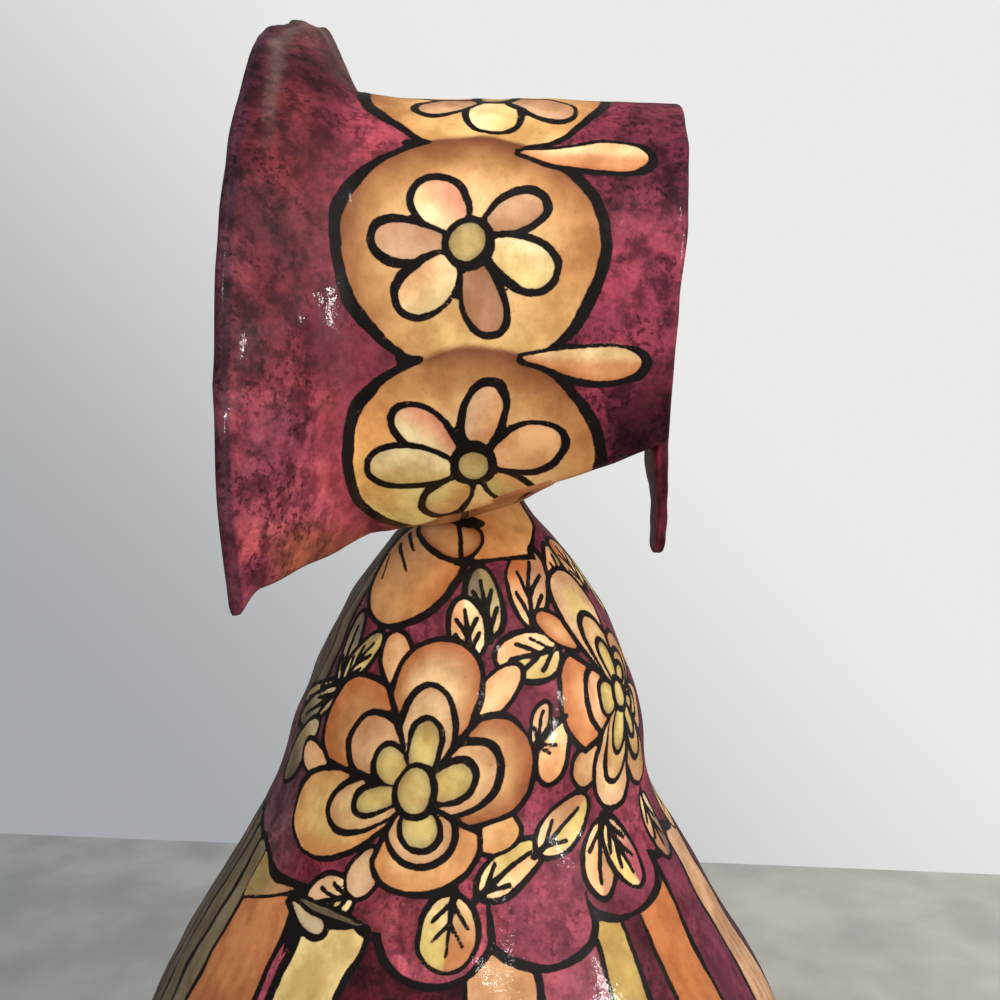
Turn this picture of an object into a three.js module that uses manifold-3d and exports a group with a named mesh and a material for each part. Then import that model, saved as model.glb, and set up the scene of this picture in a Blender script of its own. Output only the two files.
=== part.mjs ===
// A painted papier-mache figure of a woman in a deep poke bonnet: a bell-shaped body under a
// shawl, with neck and head moulded on, the bonnet as a thin shell round the head, and a
// ribbon tail hanging from the bonnet's back. Millimetres, +Z up, the figure faces -Y, and the
// origin is the centre of the flat underside.
import * as THREE from 'three';
import { mergeVertices } from 'three/addons/utils/BufferGeometryUtils.js';
import Module from 'manifold-3d';

const wasm = await Module();
wasm.setup();

// ---------- Driving dimensions: body ----------
const BASE_RADIUS = 172;
const BASE_EDGE = 3;
// Height and radius of the skirt (0 to 160), the shawl (160 to 272) and the neck.
const BODY_PROFILE = [
  [BASE_EDGE, BASE_RADIUS], [50, 150], [95, 129.5], [130, 109.5], [160, 90.5], [179, 80.5],
  [194, 76], [211, 73], [233, 65.5], [253, 56], [272, 43.5], [284, 34.5], [295, 24.5],
];
const NECK_RADIUS = 19.5;
const NECK_FOOT = 303;
const NECK_TOP = 316;
const NECK_SET_BACK = 5;
const BODY_SIDES = 64;
const BODY_RINGS = 20;

// ---------- Driving dimensions: head ----------
const HEAD_CENTRE = new THREE.Vector3(0, 2, 367);
const HEAD_HALF = new THREE.Vector3(50, 50, 66);
const JAW_TAPER = 0.3;
const HAIR_DEPTH = 5;
const FACE_HALF_WIDTH = 38;
const FACE_TOP = 38;
const FACE_DROP = 14;
const NOSE = { half: new THREE.Vector3(7, 10, 13), y: -47, z: -7 };
const HEAD_SIDES = 36;
const HEAD_RINGS = 22;

// ---------- Driving dimensions: bonnet ----------
const SHEET = 4;
const CROWN = { halfWidth: 81, centre: 377, up: 81, down: 92, power: 2.5 };
const RIM = { halfWidth: 114, centre: 330, up: 154, down: 128, upPower: 1.9, downPower: 2 };
const PEAK = { rise: 12, width: 22, soften: 5 };
const RIM_Y = -72;
const BRIM_START_Y = -34;
const RIM_TIP = 270;
const EDGE_FRONT = 290;
const EDGE_BACK = 324;
const EDGE_SAG = 1.3;
const BACK_LOW_Y = 74;
const BACK_TOP_Y = 84;
const BACK_ROUND = 6;
const BACK_DOME = 4;
const BONNET_COLUMNS = 48;
const PANEL_ROWS = 5;
const ROUND_ROWS = 3;
const CROWN_ROWS = 6;
const BRIM_ROWS = 8;

// ---------- Driving dimensions: fold under the bonnet, ribbon ----------
const FOLD_START_Y = -14;
const FOLD_END_Y = 42;
const FOLD_REACH = 26;
const FOLD_DROP = 4;
const FOLD_SHEET = 3.5;
const RIBBON = { top: 334, bottom: 277.5, topWidth: 36, bottomWidth: 26, sheet: 4.2 };
const TOUCH_GAP = 0.4;

// ---------- Helpers ----------
const clamp = (t) => Math.min(1, Math.max(0, t));
const mix = (a, b, t) => a + (b - a) * t;

function smooth(from, to, value) {
  const t = clamp((value - from) / (to - from));
  return t * t * (3 - 2 * t);
}

function signedPower(value, power) {
  return Math.sign(value) * Math.abs(value) ** power;
}

function geometryOf(points, triangles) {
  const geometry = new THREE.BufferGeometry();
  const numbers = points.flatMap((p) => [p.x, p.y, p.z]);
  geometry.setAttribute('position', new THREE.Float32BufferAttribute(numbers, 3));
  geometry.setIndex(triangles);
  return mergeVertices(geometry, 1e-4);
}

function solidOf(geometry) {
  const mesh = new wasm.Mesh({
    numProp: 3,
    vertProperties: new Float32Array(geometry.attributes.position.array),
    triVerts: new Uint32Array(geometry.index.array),
  });
  return new wasm.Manifold(mesh);
}

function geometryOfSolid(solid) {
  const mesh = solid.getMesh();
  const geometry = new THREE.BufferGeometry();
  geometry.setAttribute('position', new THREE.Float32BufferAttribute(mesh.vertProperties, 3));
  geometry.setIndex(Array.from(mesh.triVerts));
  geometry.computeVertexNormals();
  return geometry;
}

// A closed solid from rings of equal count, each listed anticlockwise seen from above, lowest
// ring first, with a fan of triangles over the first and last ring.
function loft(rings) {
  const count = rings[0].length;
  const points = rings.flat();
  const triangles = [];
  for (let row = 0; row < rings.length - 1; row += 1) {
    for (let i = 0; i < count; i += 1) {
      const a = row * count + i;
      const b = row * count + ((i + 1) % count);
      triangles.push(a, b, b + count, a, b + count, a + count);
    }
  }
  const centreOf = (ring) => ring.reduce((s, p) => s.add(p), new THREE.Vector3())
    .divideScalar(count);
  const low = points.push(centreOf(rings[0])) - 1;
  const high = points.push(centreOf(rings.at(-1))) - 1;
  const last = (rings.length - 1) * count;
  for (let i = 0; i < count; i += 1) {
    const next = (i + 1) % count;
    triangles.push(low, next, i, high, last + i, last + next);
  }
  return geometryOf(points, triangles);
}

// A closed solid between two sheets of points with the same rows and columns. The first sheet
// is the outer one: from outside, the next column lies to the right and the next row above.
function sheetSolid(outer, inner) {
  const rows = outer.length;
  const columns = outer[0].length;
  const points = [...outer.flat(), ...inner.flat()];
  const offset = rows * columns;
  const triangles = [];
  const quad = (a, b, c, d) => triangles.push(a, b, c, a, c, d);
  const at = (row, column) => row * columns + column;
  for (let row = 0; row < rows - 1; row += 1) {
    for (let column = 0; column < columns - 1; column += 1) {
      const corners = [at(row, column), at(row, column + 1),
        at(row + 1, column + 1), at(row + 1, column)];
      quad(...corners);
      quad(...corners.map((index) => index + offset).reverse());
    }
    const first = [at(row, 0), at(row + 1, 0)];
    const last = [at(row + 1, columns - 1), at(row, columns - 1)];
    for (const [a, b] of [first, last]) {
      quad(a, b, b + offset, a + offset);
    }
  }
  for (let column = 0; column < columns - 1; column += 1) {
    const start = [at(0, column + 1), at(0, column)];
    const end = [at(rows - 1, column), at(rows - 1, column + 1)];
    for (const [a, b] of [start, end]) {
      quad(a, b, b + offset, a + offset);
    }
  }
  return cleaned(geometryOf(points, triangles));
}

// Drops the triangles that a merged corner has left without area.
function cleaned(geometry) {
  const index = geometry.index.array;
  const kept = [];
  for (let i = 0; i < index.length; i += 3) {
    const [a, b, c] = index.slice(i, i + 3);
    if (a !== b && b !== c && c !== a) {
      kept.push(a, b, c);
    }
  }
  geometry.setIndex(kept);
  return geometry;
}

// ---------- Body ----------
function circle(radius, height, setBack, sides) {
  return Array.from({ length: sides }, (_, i) => {
    const angle = (i / sides) * 2 * Math.PI;
    return new THREE.Vector3(radius * Math.cos(angle), setBack + radius * Math.sin(angle),
      height);
  });
}

function bodySolid() {
  const stations = BODY_PROFILE.map(([height, radius]) => new THREE.Vector3(radius, 0, height));
  stations.push(new THREE.Vector3(NECK_RADIUS, 0, NECK_FOOT));
  stations.push(new THREE.Vector3(NECK_RADIUS, 0, NECK_TOP));
  const outline = new THREE.CatmullRomCurve3(stations, false, 'centripetal');
  const shift = (height) => NECK_SET_BACK * smooth(160, 260, height);
  const rings = [circle(BASE_RADIUS - BASE_EDGE, 0, 0, BODY_SIDES)];
  for (let i = 0; i <= BODY_RINGS; i += 1) {
    const { x: radius, z: height } = outline.getPoint(i / BODY_RINGS);
    rings.push(circle(radius, height, shift(height), BODY_SIDES));
  }
  return solidOf(loft(rings));
}

// ---------- Head ----------
// A point of the head in the direction of a unit vector: an egg with a narrower jaw, a plain
// chin, lips and brow, and the hair standing proud outside the oval of the face.
function headPoint(direction) {
  const { x, y, z } = direction;
  const jaw = 1 - JAW_TAPER * smooth(0.1, 1, -z);
  const point = new THREE.Vector3(x * HEAD_HALF.x * jaw, y * HEAD_HALF.y, z * HEAD_HALF.z);
  const front = smooth(0, 0.5, -y);
  const bump = (dx, dz, width, height) => front
    * Math.exp(-(((point.x - dx) / width) ** 2) - (((point.z - dz) / height) ** 2));
  const chin = 3 * bump(0, -46, 12, 9);
  const lips = 2.5 * bump(0, -28, 11, 6);
  const brow = 2 * bump(0, 16, 28, 7);
  const sockets = 3 * (bump(17, 5, 10, 7) + bump(-17, 5, 10, 7));
  point.y -= chin + lips + brow - sockets;
  const oval = Math.hypot(point.x / FACE_HALF_WIDTH, (point.z + FACE_DROP) / (FACE_TOP + FACE_DROP));
  const bare = smooth(0.1, 0.3, -y) * (1 - smooth(0.94, 1.08, oval)) + smooth(0.35, 0.6, -z);
  point.addScaledVector(direction, HAIR_DEPTH * (1 - clamp(bare)));
  return point.add(HEAD_CENTRE);
}

function noseSolid() {
  const geometry = new THREE.SphereGeometry(1, 12, 8);
  geometry.deleteAttribute('normal');
  geometry.deleteAttribute('uv');
  geometry.rotateX(Math.PI / 2);
  geometry.scale(NOSE.half.x, NOSE.half.y, NOSE.half.z);
  geometry.translate(HEAD_CENTRE.x, HEAD_CENTRE.y + NOSE.y, HEAD_CENTRE.z + NOSE.z);
  return solidOf(cleaned(mergeVertices(geometry, 1e-4)));
}

function headSolid() {
  const rings = [];
  for (let row = 1; row < HEAD_RINGS; row += 1) {
    const polar = Math.PI * (1 - row / HEAD_RINGS);
    const directions = Array.from({ length: HEAD_SIDES }, (_, i) => new THREE.Vector3()
      .setFromSphericalCoords(1, polar, (i / HEAD_SIDES) * 2 * Math.PI)
      .applyAxisAngle(new THREE.Vector3(1, 0, 0), Math.PI / 2));
    rings.push(directions.map(headPoint));
  }
  return solidOf(loft(rings)).add(noseSolid());
}

// ---------- Bonnet ----------
// Points of an arch from its +X foot over the top to its -X foot, evenly spaced along it.
function arch(shape, footHeight) {
  const upPower = shape.upPower ?? shape.power;
  const downPower = shape.downPower ?? shape.power;
  const fall = (shape.centre - footHeight) / shape.down;
  const last = Math.PI / 2 + Math.asin(fall ** (downPower / 2));
  const steps = 400;
  const fine = [];
  for (let i = 0; i <= steps; i += 1) {
    const angle = mix(last, -last, i / steps);
    const upper = Math.cos(angle) >= 0;
    const power = 2 / (upper ? upPower : downPower);
    const rise = upper ? shape.up : shape.down;
    fine.push(new THREE.Vector2(shape.halfWidth * signedPower(Math.sin(angle), power),
      shape.centre + rise * signedPower(Math.cos(angle), power)));
  }
  const lengths = [0];
  for (let i = 1; i < fine.length; i += 1) {
    lengths.push(lengths[i - 1] + fine[i].distanceTo(fine[i - 1]));
  }
  const points = [];
  for (let column = 0, k = 0; column <= BONNET_COLUMNS; column += 1) {
    const wanted = (lengths.at(-1) * column) / BONNET_COLUMNS;
    while (k < steps - 1 && lengths[k + 1] < wanted) {
      k += 1;
    }
    const t = clamp((wanted - lengths[k]) / (lengths[k + 1] - lengths[k]));
    points.push(fine[k].clone().lerp(fine[k + 1], t));
  }
  return points;
}

function edgeHeight(y) {
  const along = clamp((y - BRIM_START_Y) / (BACK_LOW_Y - BRIM_START_Y));
  return mix(EDGE_FRONT, EDGE_BACK, along ** EDGE_SAG);
}

function backY(height) {
  const rise = (height - EDGE_BACK) / (CROWN.centre + CROWN.up - EDGE_BACK);
  return mix(BACK_LOW_Y, BACK_TOP_Y, clamp(rise));
}

// One row of the crown: along is 0 at the back edge and 1 where the brim starts.
function crownRow(along) {
  const foot = mix(BACK_LOW_Y - BACK_ROUND, BRIM_START_Y, along);
  return arch(CROWN, edgeHeight(foot)).map(({ x, y: z }) => new THREE.Vector3(x,
    mix(backY(z) - BACK_ROUND, BRIM_START_Y, along), z));
}

// How far the brim has opened: it sweeps up steeply at the top and runs straight at the feet.
function brimOpening(along, topness) {
  const steep = 0.9 * smooth(0.04, 0.65, along) + 0.1 * along;
  const straight = mix(along, smooth(0, 1, along), 0.35);
  return mix(straight, steep, topness);
}

function brimRow(along) {
  const from = arch(CROWN, edgeHeight(BRIM_START_Y));
  const to = arch(RIM, RIM_TIP);
  to.forEach((point) => {
    point.y += PEAK.rise * Math.exp(-Math.hypot(point.x, PEAK.soften) / PEAK.width);
  });
  return from.map((start, column) => {
    const side = Math.abs((2 * column) / BONNET_COLUMNS - 1);
    const opening = brimOpening(along, 1 - smooth(0.1, 0.6, side));
    return new THREE.Vector3(mix(start.x, to[column].x, opening),
      mix(BRIM_START_Y, RIM_Y, along), mix(start.y, to[column].y, opening));
  });
}

// The rounded edge of the back and the domed back panel, from the middle of its foot outwards.
function backRows() {
  const edge = crownRow(0);
  const inward = edge.map((point, column) => {
    const before = edge[Math.max(0, column - 1)];
    const after = edge[Math.min(BONNET_COLUMNS, column + 1)];
    return new THREE.Vector3(after.z - before.z, 0, before.x - after.x).normalize().negate();
  });
  const roundRow = (angle) => edge.map((point, column) => point.clone()
    .addScaledVector(inward[column], BACK_ROUND * (1 - Math.cos(angle)))
    .add(new THREE.Vector3(0, BACK_ROUND * Math.sin(angle), 0)));
  const outline = roundRow(Math.PI / 2);
  const foot = outline[0].clone().add(outline.at(-1)).divideScalar(2);
  const rows = [];
  for (let row = 0; row < PANEL_ROWS; row += 1) {
    const reach = row / PANEL_ROWS;
    rows.push(outline.map((point) => foot.clone().lerp(point, reach)
      .add(new THREE.Vector3(0, BACK_DOME * (1 - reach * reach), 0))));
  }
  for (let row = ROUND_ROWS; row > 0; row -= 1) {
    rows.push(roundRow((row / ROUND_ROWS) * (Math.PI / 2)));
  }
  return rows;
}

function bonnetRows() {
  const rows = backRows();
  for (let row = 0; row < CROWN_ROWS; row += 1) {
    rows.push(crownRow(row / CROWN_ROWS));
  }
  for (let row = 0; row <= BRIM_ROWS; row += 1) {
    rows.push(brimRow(row / BRIM_ROWS));
  }
  return rows;
}

// The inner face of a sheet: every point moved inwards along the sheet's own normal.
function offsetRows(rows, distance) {
  return rows.map((line, row) => line.map((point, column) => {
    const ahead = rows[Math.min(rows.length - 1, row + 1)][column];
    const behind = rows[Math.max(0, row - 1)][column];
    const before = line[Math.max(0, column - 1)];
    const after = line[Math.min(line.length - 1, column + 1)];
    const normal = after.clone().sub(before).cross(ahead.clone().sub(behind)).normalize();
    if (row === 0) {
      normal.set(0, 1, 0);
    }
    const moved = point.clone().addScaledVector(normal, -distance);
    moved.y = Math.max(moved.y, RIM_Y);
    return moved;
  }));
}

// The sheet folded in under the crown on one side, from its lower edge to the neck.
function foldSolid(side) {
  const lines = 9;
  const reachSteps = 4;
  const under = [];
  for (let line = 0; line <= lines; line += 1) {
    const along = line / lines;
    const y = mix(FOLD_START_Y, FOLD_END_Y, along);
    const swell = Math.sin(Math.PI * clamp(along)) ** 0.8;
    const { x: edgeX, y: edgeZ } = arch(CROWN, edgeHeight(y))[0];
    const reach = 3 + FOLD_REACH * swell;
    under.push(Array.from({ length: reachSteps + 1 }, (_, i) => {
      const t = i / reachSteps;
      return new THREE.Vector3(side * (edgeX - SHEET / 3 - reach * t), y,
        edgeZ + 0.3 - FOLD_DROP * swell * t);
    }));
  }
  const over = under.map((line) => line.map((p) => p.clone()
    .add(new THREE.Vector3(0, 0, FOLD_SHEET))));
  const geometry = side > 0 ? sheetSolid(under, over) : sheetSolid(over, under);
  return solidOf(geometry);
}

function bonnetSolid() {
  const outer = bonnetRows();
  const shell = solidOf(sheetSolid(outer, offsetRows(outer, SHEET)));
  return shell.add(foldSolid(1)).add(foldSolid(-1));
}

// ---------- Ribbon ----------
function ribbonSolid() {
  const { top, bottom, topWidth, bottomWidth, sheet } = RIBBON;
  const front = BACK_LOW_Y + BACK_DOME + 1.4 + TOUCH_GAP;
  const outline = new THREE.Shape();
  outline.moveTo(-topWidth / 2, top);
  outline.lineTo(topWidth / 2, top);
  outline.lineTo(topWidth / 2, top - 20);
  outline.quadraticCurveTo(bottomWidth / 2, top - 34, bottomWidth / 2, bottom + 8);
  outline.quadraticCurveTo(bottomWidth / 2, bottom, 0, bottom);
  outline.quadraticCurveTo(-bottomWidth / 2, bottom, -bottomWidth / 2, bottom + 8);
  outline.quadraticCurveTo(-bottomWidth / 2, top - 34, -topWidth / 2, top - 20);
  const rounding = 1;
  const geometry = new THREE.ExtrudeGeometry(outline, {
    depth: sheet - 2 * rounding,
    bevelThickness: rounding,
    bevelSize: rounding,
    bevelOffset: -rounding,
    bevelSegments: 2,
    curveSegments: 6,
  });
  geometry.deleteAttribute('normal');
  geometry.deleteAttribute('uv');
  geometry.rotateX(Math.PI / 2);
  geometry.translate(0, front + sheet - rounding, 0);
  return solidOf(cleaned(mergeVertices(geometry, 1e-3)));
}

// ---------- Assembly ----------
function piece(name, solid, color, roughness) {
  const material = new THREE.MeshStandardMaterial({ color, roughness, metalness: 0 });
  const mesh = new THREE.Mesh(geometryOfSolid(solid), material);
  mesh.name = name;
  return mesh;
}

const figure = new THREE.Group();
figure.add(
  piece('body', bodySolid().add(headSolid()), 0x7c2a48, 0.3),
  piece('bonnet', bonnetSolid(), 0x8e3450, 0.3),
  piece('ribbon', ribbonSolid(), 0x4a1226, 0.3),
);

export default figure;
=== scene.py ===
import math

import bpy
import numpy as np
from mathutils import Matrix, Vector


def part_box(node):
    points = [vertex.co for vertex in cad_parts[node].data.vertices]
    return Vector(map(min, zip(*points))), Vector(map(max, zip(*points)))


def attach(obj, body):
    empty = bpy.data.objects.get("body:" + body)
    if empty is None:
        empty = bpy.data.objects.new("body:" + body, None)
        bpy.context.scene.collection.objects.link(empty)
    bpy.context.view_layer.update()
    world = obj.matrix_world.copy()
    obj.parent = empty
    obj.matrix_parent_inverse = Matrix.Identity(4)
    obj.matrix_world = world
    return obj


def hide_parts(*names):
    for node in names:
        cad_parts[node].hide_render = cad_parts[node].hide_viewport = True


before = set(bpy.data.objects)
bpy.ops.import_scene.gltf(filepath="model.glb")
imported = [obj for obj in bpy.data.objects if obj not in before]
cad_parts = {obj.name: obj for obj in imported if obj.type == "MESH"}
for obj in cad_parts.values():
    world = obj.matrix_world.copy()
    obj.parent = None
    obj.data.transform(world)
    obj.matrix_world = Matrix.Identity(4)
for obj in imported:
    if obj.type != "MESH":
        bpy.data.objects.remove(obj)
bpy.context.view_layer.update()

# A painted papier-mache figure in a deep poke bonnet. Every visible piece is a dense grid of
# points in millimetres. The painting is worked out at the points from distances to ellipses,
# petals, leaves and lines, laid one over another as a painter would lay them, and each mesh
# keeps it as four attributes: paint (colour), ink (distance to the nearest drawn line), dye
# (how far the mottled ground shows) and worn (nearness to a rubbed edge, whose pale
# chips also stand in for painted glints on the rim). Some of the paint is painted light and
# shade, marked where it is laid.
MM = 0.001
FAR = 1000.0


def box_mm(node):
    low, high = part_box(node)
    return np.array(low) / MM, np.array(high) / MM


BODY_HIGH = box_mm("body")[1]
BONNET_LOW = box_mm("bonnet")[0]
RIBBON_LOW, RIBBON_HIGH = box_mm("ribbon")

# ---------- Sizes of the body and head ----------
BASE_RADIUS = BODY_HIGH[0]
BASE_EDGE = 3
# Height and radius of the skirt, the shawl and the neck.
BODY_PROFILE = [
    (BASE_EDGE, BASE_RADIUS), (50, 150), (95, 129.5), (130, 109.5), (160, 90.5), (179, 80.5),
    (194, 76), (211, 73), (233, 65.5), (253, 56), (272, 43.5), (284, 34.5), (295, 24.5),
    (303, 19.5), (316, 19.5),
]
NECK_SET_BACK = 5
BODY_COLUMNS = 476
# The columns stand closer on the +X side. Rows: run where each stretch ends, and its count.
COLUMN_CROWDING = 0.3
BODY_ROWS = [(132, 22), (160, 16), (330, 160), (1000, 7)]
HEAD_CENTRE = np.array([0, 2, 367])
HEAD_HALF = np.array([50, 50, 66])
HEAD_ROWS, HEAD_COLUMNS = 130, 200
JAW_TAPER = 0.3
HAIR_DEPTH = 5
# The bare face is an oval, narrowed by hair, whose middle lies below the head's.
FACE_HALF_WIDTH, FACE_TOP, FACE_DROP = 38, 38, 14
EYE_ACROSS, CHEEK_ACROSS = 17, 21

# ---------- Sizes of the bonnet, its folds and the ribbon ----------
SHEET = 4.0
CROWN = dict(half_width=81, centre=377, up=81, down=92, power=2.5)
RIM = dict(half_width=114, centre=330, up=154, down=128, power=2.0)
PEAK_RISE, PEAK_WIDTH, PEAK_SOFTEN = 11, 18, 3.5
# How far the rim's peak stands back, over what width, and how far the lower edge is hollowed.
PEAK_BACK, PEAK_BACK_WIDTH, FOOT_HOLLOW = 5.5, 28, 6
RIM_Y = BONNET_LOW[1]
BRIM_START_Y = -34
RIM_TIP = BONNET_LOW[2]
EDGE_FRONT, EDGE_BACK, EDGE_SAG = 290, 327, 1.3
BACK_LOW_Y, BACK_TOP_Y, BACK_HOLLOW = 76, 84.4, 1.8
BACK_ROUND, BACK_DOME = 2.5, 4
# How far the top line sinks below the arch, in front and at the back, and the short rise
# where the brim begins.
TOP_SINK = 0.5, 2.6
BRIM_KINK, BRIM_KINK_LENGTH = 1.3, 4
BONNET_COLUMNS = 341
PANEL_ROWS, ROUND_ROWS, CROWN_ROWS, BRIM_ROWS = 13, 5, 76, 45
FOLD_START_Y, FOLD_END_Y = -20, 35
FOLD_REACH, FOLD_DROP, FOLD_SHEET = 26, 5.5, 3.5
FOLD_ROWS, FOLD_COLUMNS = 70, 30
RIBBON_HALF_LOW, RIBBON_HALF_TOP, RIBBON_ROUND = 13, 18, 8
# The heights between which the ribbon widens, and those of the small lobe on its front.
RIBBON_WIDENS = 300, 316
LOBE_LOW, LOBE_TOP, LOBE_DEPTH = 304, 325, 1.2
RIBBON_ROWS, RIBBON_COLUMNS = 60, 72


# ---------- Numbers ----------
def smooth(low, high, value):
    t = np.clip((value - low) / (high - low), 0, 1)
    return t * t * (3 - 2 * t)


def mix(a, b, t):
    return a + (b - a) * t


def tinge(a, b, share):
    """Colours between a and b, by a share at each point."""
    return mix(a, b, share[:, None])


def bell(*offsets):
    """1 where every offset is 0, and almost nothing where one of them is past 2."""
    return np.exp(-sum(offset**2 for offset in offsets))


def unit(vectors):
    length = np.linalg.norm(vectors, axis=-1, keepdims=True)
    return vectors / np.maximum(length, 1e-9)


def waves(points, size, seed, count=8):
    """Smooth irregular values, mostly within -1 and 1, that vary over about size."""
    rng = np.random.default_rng(seed)
    total = np.zeros(points.shape[:-1])
    for _ in range(count):
        heading = rng.normal(size=points.shape[-1])
        heading *= 2 * math.pi / (np.linalg.norm(heading) * size * rng.uniform(0.7, 1.6))
        total += np.sin(points @ heading + rng.uniform(0, 2 * math.pi))
    return total / math.sqrt(count)


def layered_waves(points, seed, *layers):
    """The sum of waves of each (height, size), with seeds that count up."""
    return sum(height * waves(points, size, seed + layer)
               for layer, (height, size) in enumerate(layers))


def colour(red, green, blue):
    """A display colour, 0 to 255, as linear light."""
    c = np.array([red, green, blue]) / 255
    return np.where(c <= 0.04045, c / 12.92, ((c + 0.055) / 1.055) ** 2.4)


def spline(stations, steps):
    """Points on a centripetal Catmull-Rom curve through the stations."""
    p = np.array(stations, float)
    p = np.vstack([2 * p[0] - p[1], p, 2 * p[-1] - p[-2]])
    line = []
    for i in range(1, len(p) - 2):
        p0, p1, p2, p3 = p[i - 1:i + 3]
        d1, d2, d3 = (math.sqrt(np.linalg.norm(b - a))
                      for a, b in ((p0, p1), (p1, p2), (p2, p3)))
        m1 = d2 * ((p1 - p0) / d1 - (p2 - p0) / (d1 + d2) + (p2 - p1) / d2)
        m2 = d2 * ((p2 - p1) / d2 - (p3 - p1) / (d2 + d3) + (p3 - p2) / d3)
        for t in np.linspace(0, 1, steps, endpoint=False):
            line.append((2 * t**3 - 3 * t**2 + 1) * p1 + (t**3 - 2 * t**2 + t) * m1
                        + (3 * t**2 - 2 * t**3) * p2 + (t**3 - t**2) * m2)
    return np.array(line + [p[-2]])


# ---------- Colours ----------
INK = colour(20, 13, 12)
BURGUNDY = colour(146, 58, 74)
BURGUNDY_PINK = colour(170, 80, 96)
BURGUNDY_DARK = colour(86, 26, 42)
PLUM = colour(112, 44, 66)
MAROON = colour(104, 34, 44)
RED_BROWN = colour(140, 58, 58)
GREY_MAUVE = colour(120, 92, 94)
LINING = colour(104, 38, 52)
CREAM = colour(248, 226, 172)
CREAM_YELLOW = colour(236, 206, 134)
PEACH = colour(238, 178, 126)
PEACH_PINK = colour(222, 150, 118)
DUSTY = colour(212, 168, 130)
DUSTY_BROWN = colour(186, 134, 98)
TAN = colour(196, 142, 94)
OCHRE = colour(222, 162, 98)
OCHRE_BROWN = colour(168, 98, 58)
RIM_DARK = colour(58, 26, 48)
ORANGE = colour(196, 120, 66)
ORANGE_BROWN = colour(160, 92, 50)
BROWN = colour(122, 70, 42)
OLIVE = colour(206, 184, 110)
OLIVE_DULL = colour(164, 146, 96)
OLIVE_GREY = colour(124, 112, 86)
GREY_BROWN = colour(112, 98, 84)
YELLOW = colour(208, 184, 112)
SKIN = colour(232, 178, 140)
HAIR = colour(58, 34, 26)


# ---------- Distances to drawn shapes, below 0 inside ----------
def oval(x, y, half_x, half_y):
    k = np.hypot(x / half_x, y / half_y) + 1e-9
    slope = np.hypot(x / half_x**2, y / half_y**2) / k
    return (k - 1) / np.maximum(slope, 1e-6)


def egg(x, y, root, tip, half_width, skew):
    """An egg along x from root to tip, fatter towards its tip for a positive skew."""
    half = (tip - root) / 2
    along = (x - (root + tip) / 2) / half
    width = half_width * np.maximum(1 + skew * along, 0.12)
    k = np.hypot(along, y / width) + 1e-9
    slope_x = (along / half - y**2 / width**3 * half_width * skew / half) / k
    return (k - 1) / np.maximum(np.hypot(slope_x, y / width**2 / k), 1e-6)


def wash(distance, edge, middle, depth):
    """A colour at a shape's outline that gives way to another inside it."""
    return tinge(edge, middle, smooth(0, depth, -distance))


# ---------- Painting ----------
class Painting:
    """The painting of one piece: across and up are its drawn axes, in millimetres."""

    def __init__(self, points, across, up, ground, dye=1.0):
        flat = points.reshape(-1, 3)
        self.points = flat
        self.across = across.ravel() + layered_waves(flat, 11, (0.8, 30), (0.17, 9))
        self.up = up.ravel() + layered_waves(flat, 13, (0.8, 30), (0.17, 9))
        self.heft = 1 + 0.2 * waves(flat, 22, 15)
        count = len(flat)
        self.colour = np.array(np.broadcast_to(ground, (count, 3)))
        self.ink = np.full(count, FAR)
        self.dye = np.full(count, dye)
        self.worn = np.zeros(count)

    def patch(self, across=0.0, up=0.0, turn=0.0, reach=math.inf, scale=1.0):
        """The points within reach of a place. One unit of across is worth scale millimetres."""
        dx = (self.across - across) * scale
        dy = self.up - up
        index = np.flatnonzero(dx * dx + dy * dy < reach * reach)
        return Patch(self, index, dx[index], dy[index]).turned(turn)

    def attributes(self):
        return dict(paint=self.colour, ink=self.ink, dye=self.dye, worn=self.worn)


class Patch:
    """The points near one motif, in the motif's own axes: x along its heading."""

    def __init__(self, painting, index, x, y):
        self.painting, self.index, self.x, self.y = painting, index, x, y

    def turned(self, angle):
        """The same points with the axes turned by an angle in degrees."""
        c, s = math.cos(math.radians(angle)), math.sin(math.radians(angle))
        x, y = self.x * c + self.y * s, self.y * c - self.x * s
        return Patch(self.painting, self.index, x, y)

    def lay(self, distance, paint, line=0.0, dye=0.0):
        """Fills a shape and draws its outline over what is there."""
        p, index = self.painting, self.index
        inside = distance < 0
        cover = smooth(0.7, -0.7, distance)
        p.colour[index] = tinge(p.colour[index], paint, cover)
        p.dye[index] = mix(p.dye[index], dye, cover)
        edge = np.abs(distance) - line / 2 * p.heft[index] if np.any(line) else FAR
        p.ink[index] = np.where(inside, edge, np.minimum(p.ink[index], edge))

    def draw(self, distance):
        """Draws a line over what is there."""
        p, index = self.painting, self.index
        thinner = (p.heft[index] - 1) * 0.7
        p.ink[index] = np.minimum(p.ink[index], distance - thinner)

    def stroke(self, start, end, wide, narrow):
        """Draws a brush stroke that thins from one full width to another."""
        (x0, y0), (x1, y1) = start, end
        length = (x1 - x0)**2 + (y1 - y0)**2
        t = np.clip(((self.x - x0) * (x1 - x0) + (self.y - y0) * (y1 - y0)) / length, 0, 1)
        away = np.hypot(self.x - mix(x0, x1, t), self.y - mix(y0, y1, t))
        self.draw(away - mix(wide, narrow, t) / 2)

    def shade(self, amount, paint):
        """Tints what is there, by an amount from 0 to 1 at each point."""
        p, index = self.painting, self.index
        p.colour[index] = tinge(p.colour[index], paint, np.clip(amount, 0, 1))


# ---------- Motifs ----------
LEAF_LINE = 2.1


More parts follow.
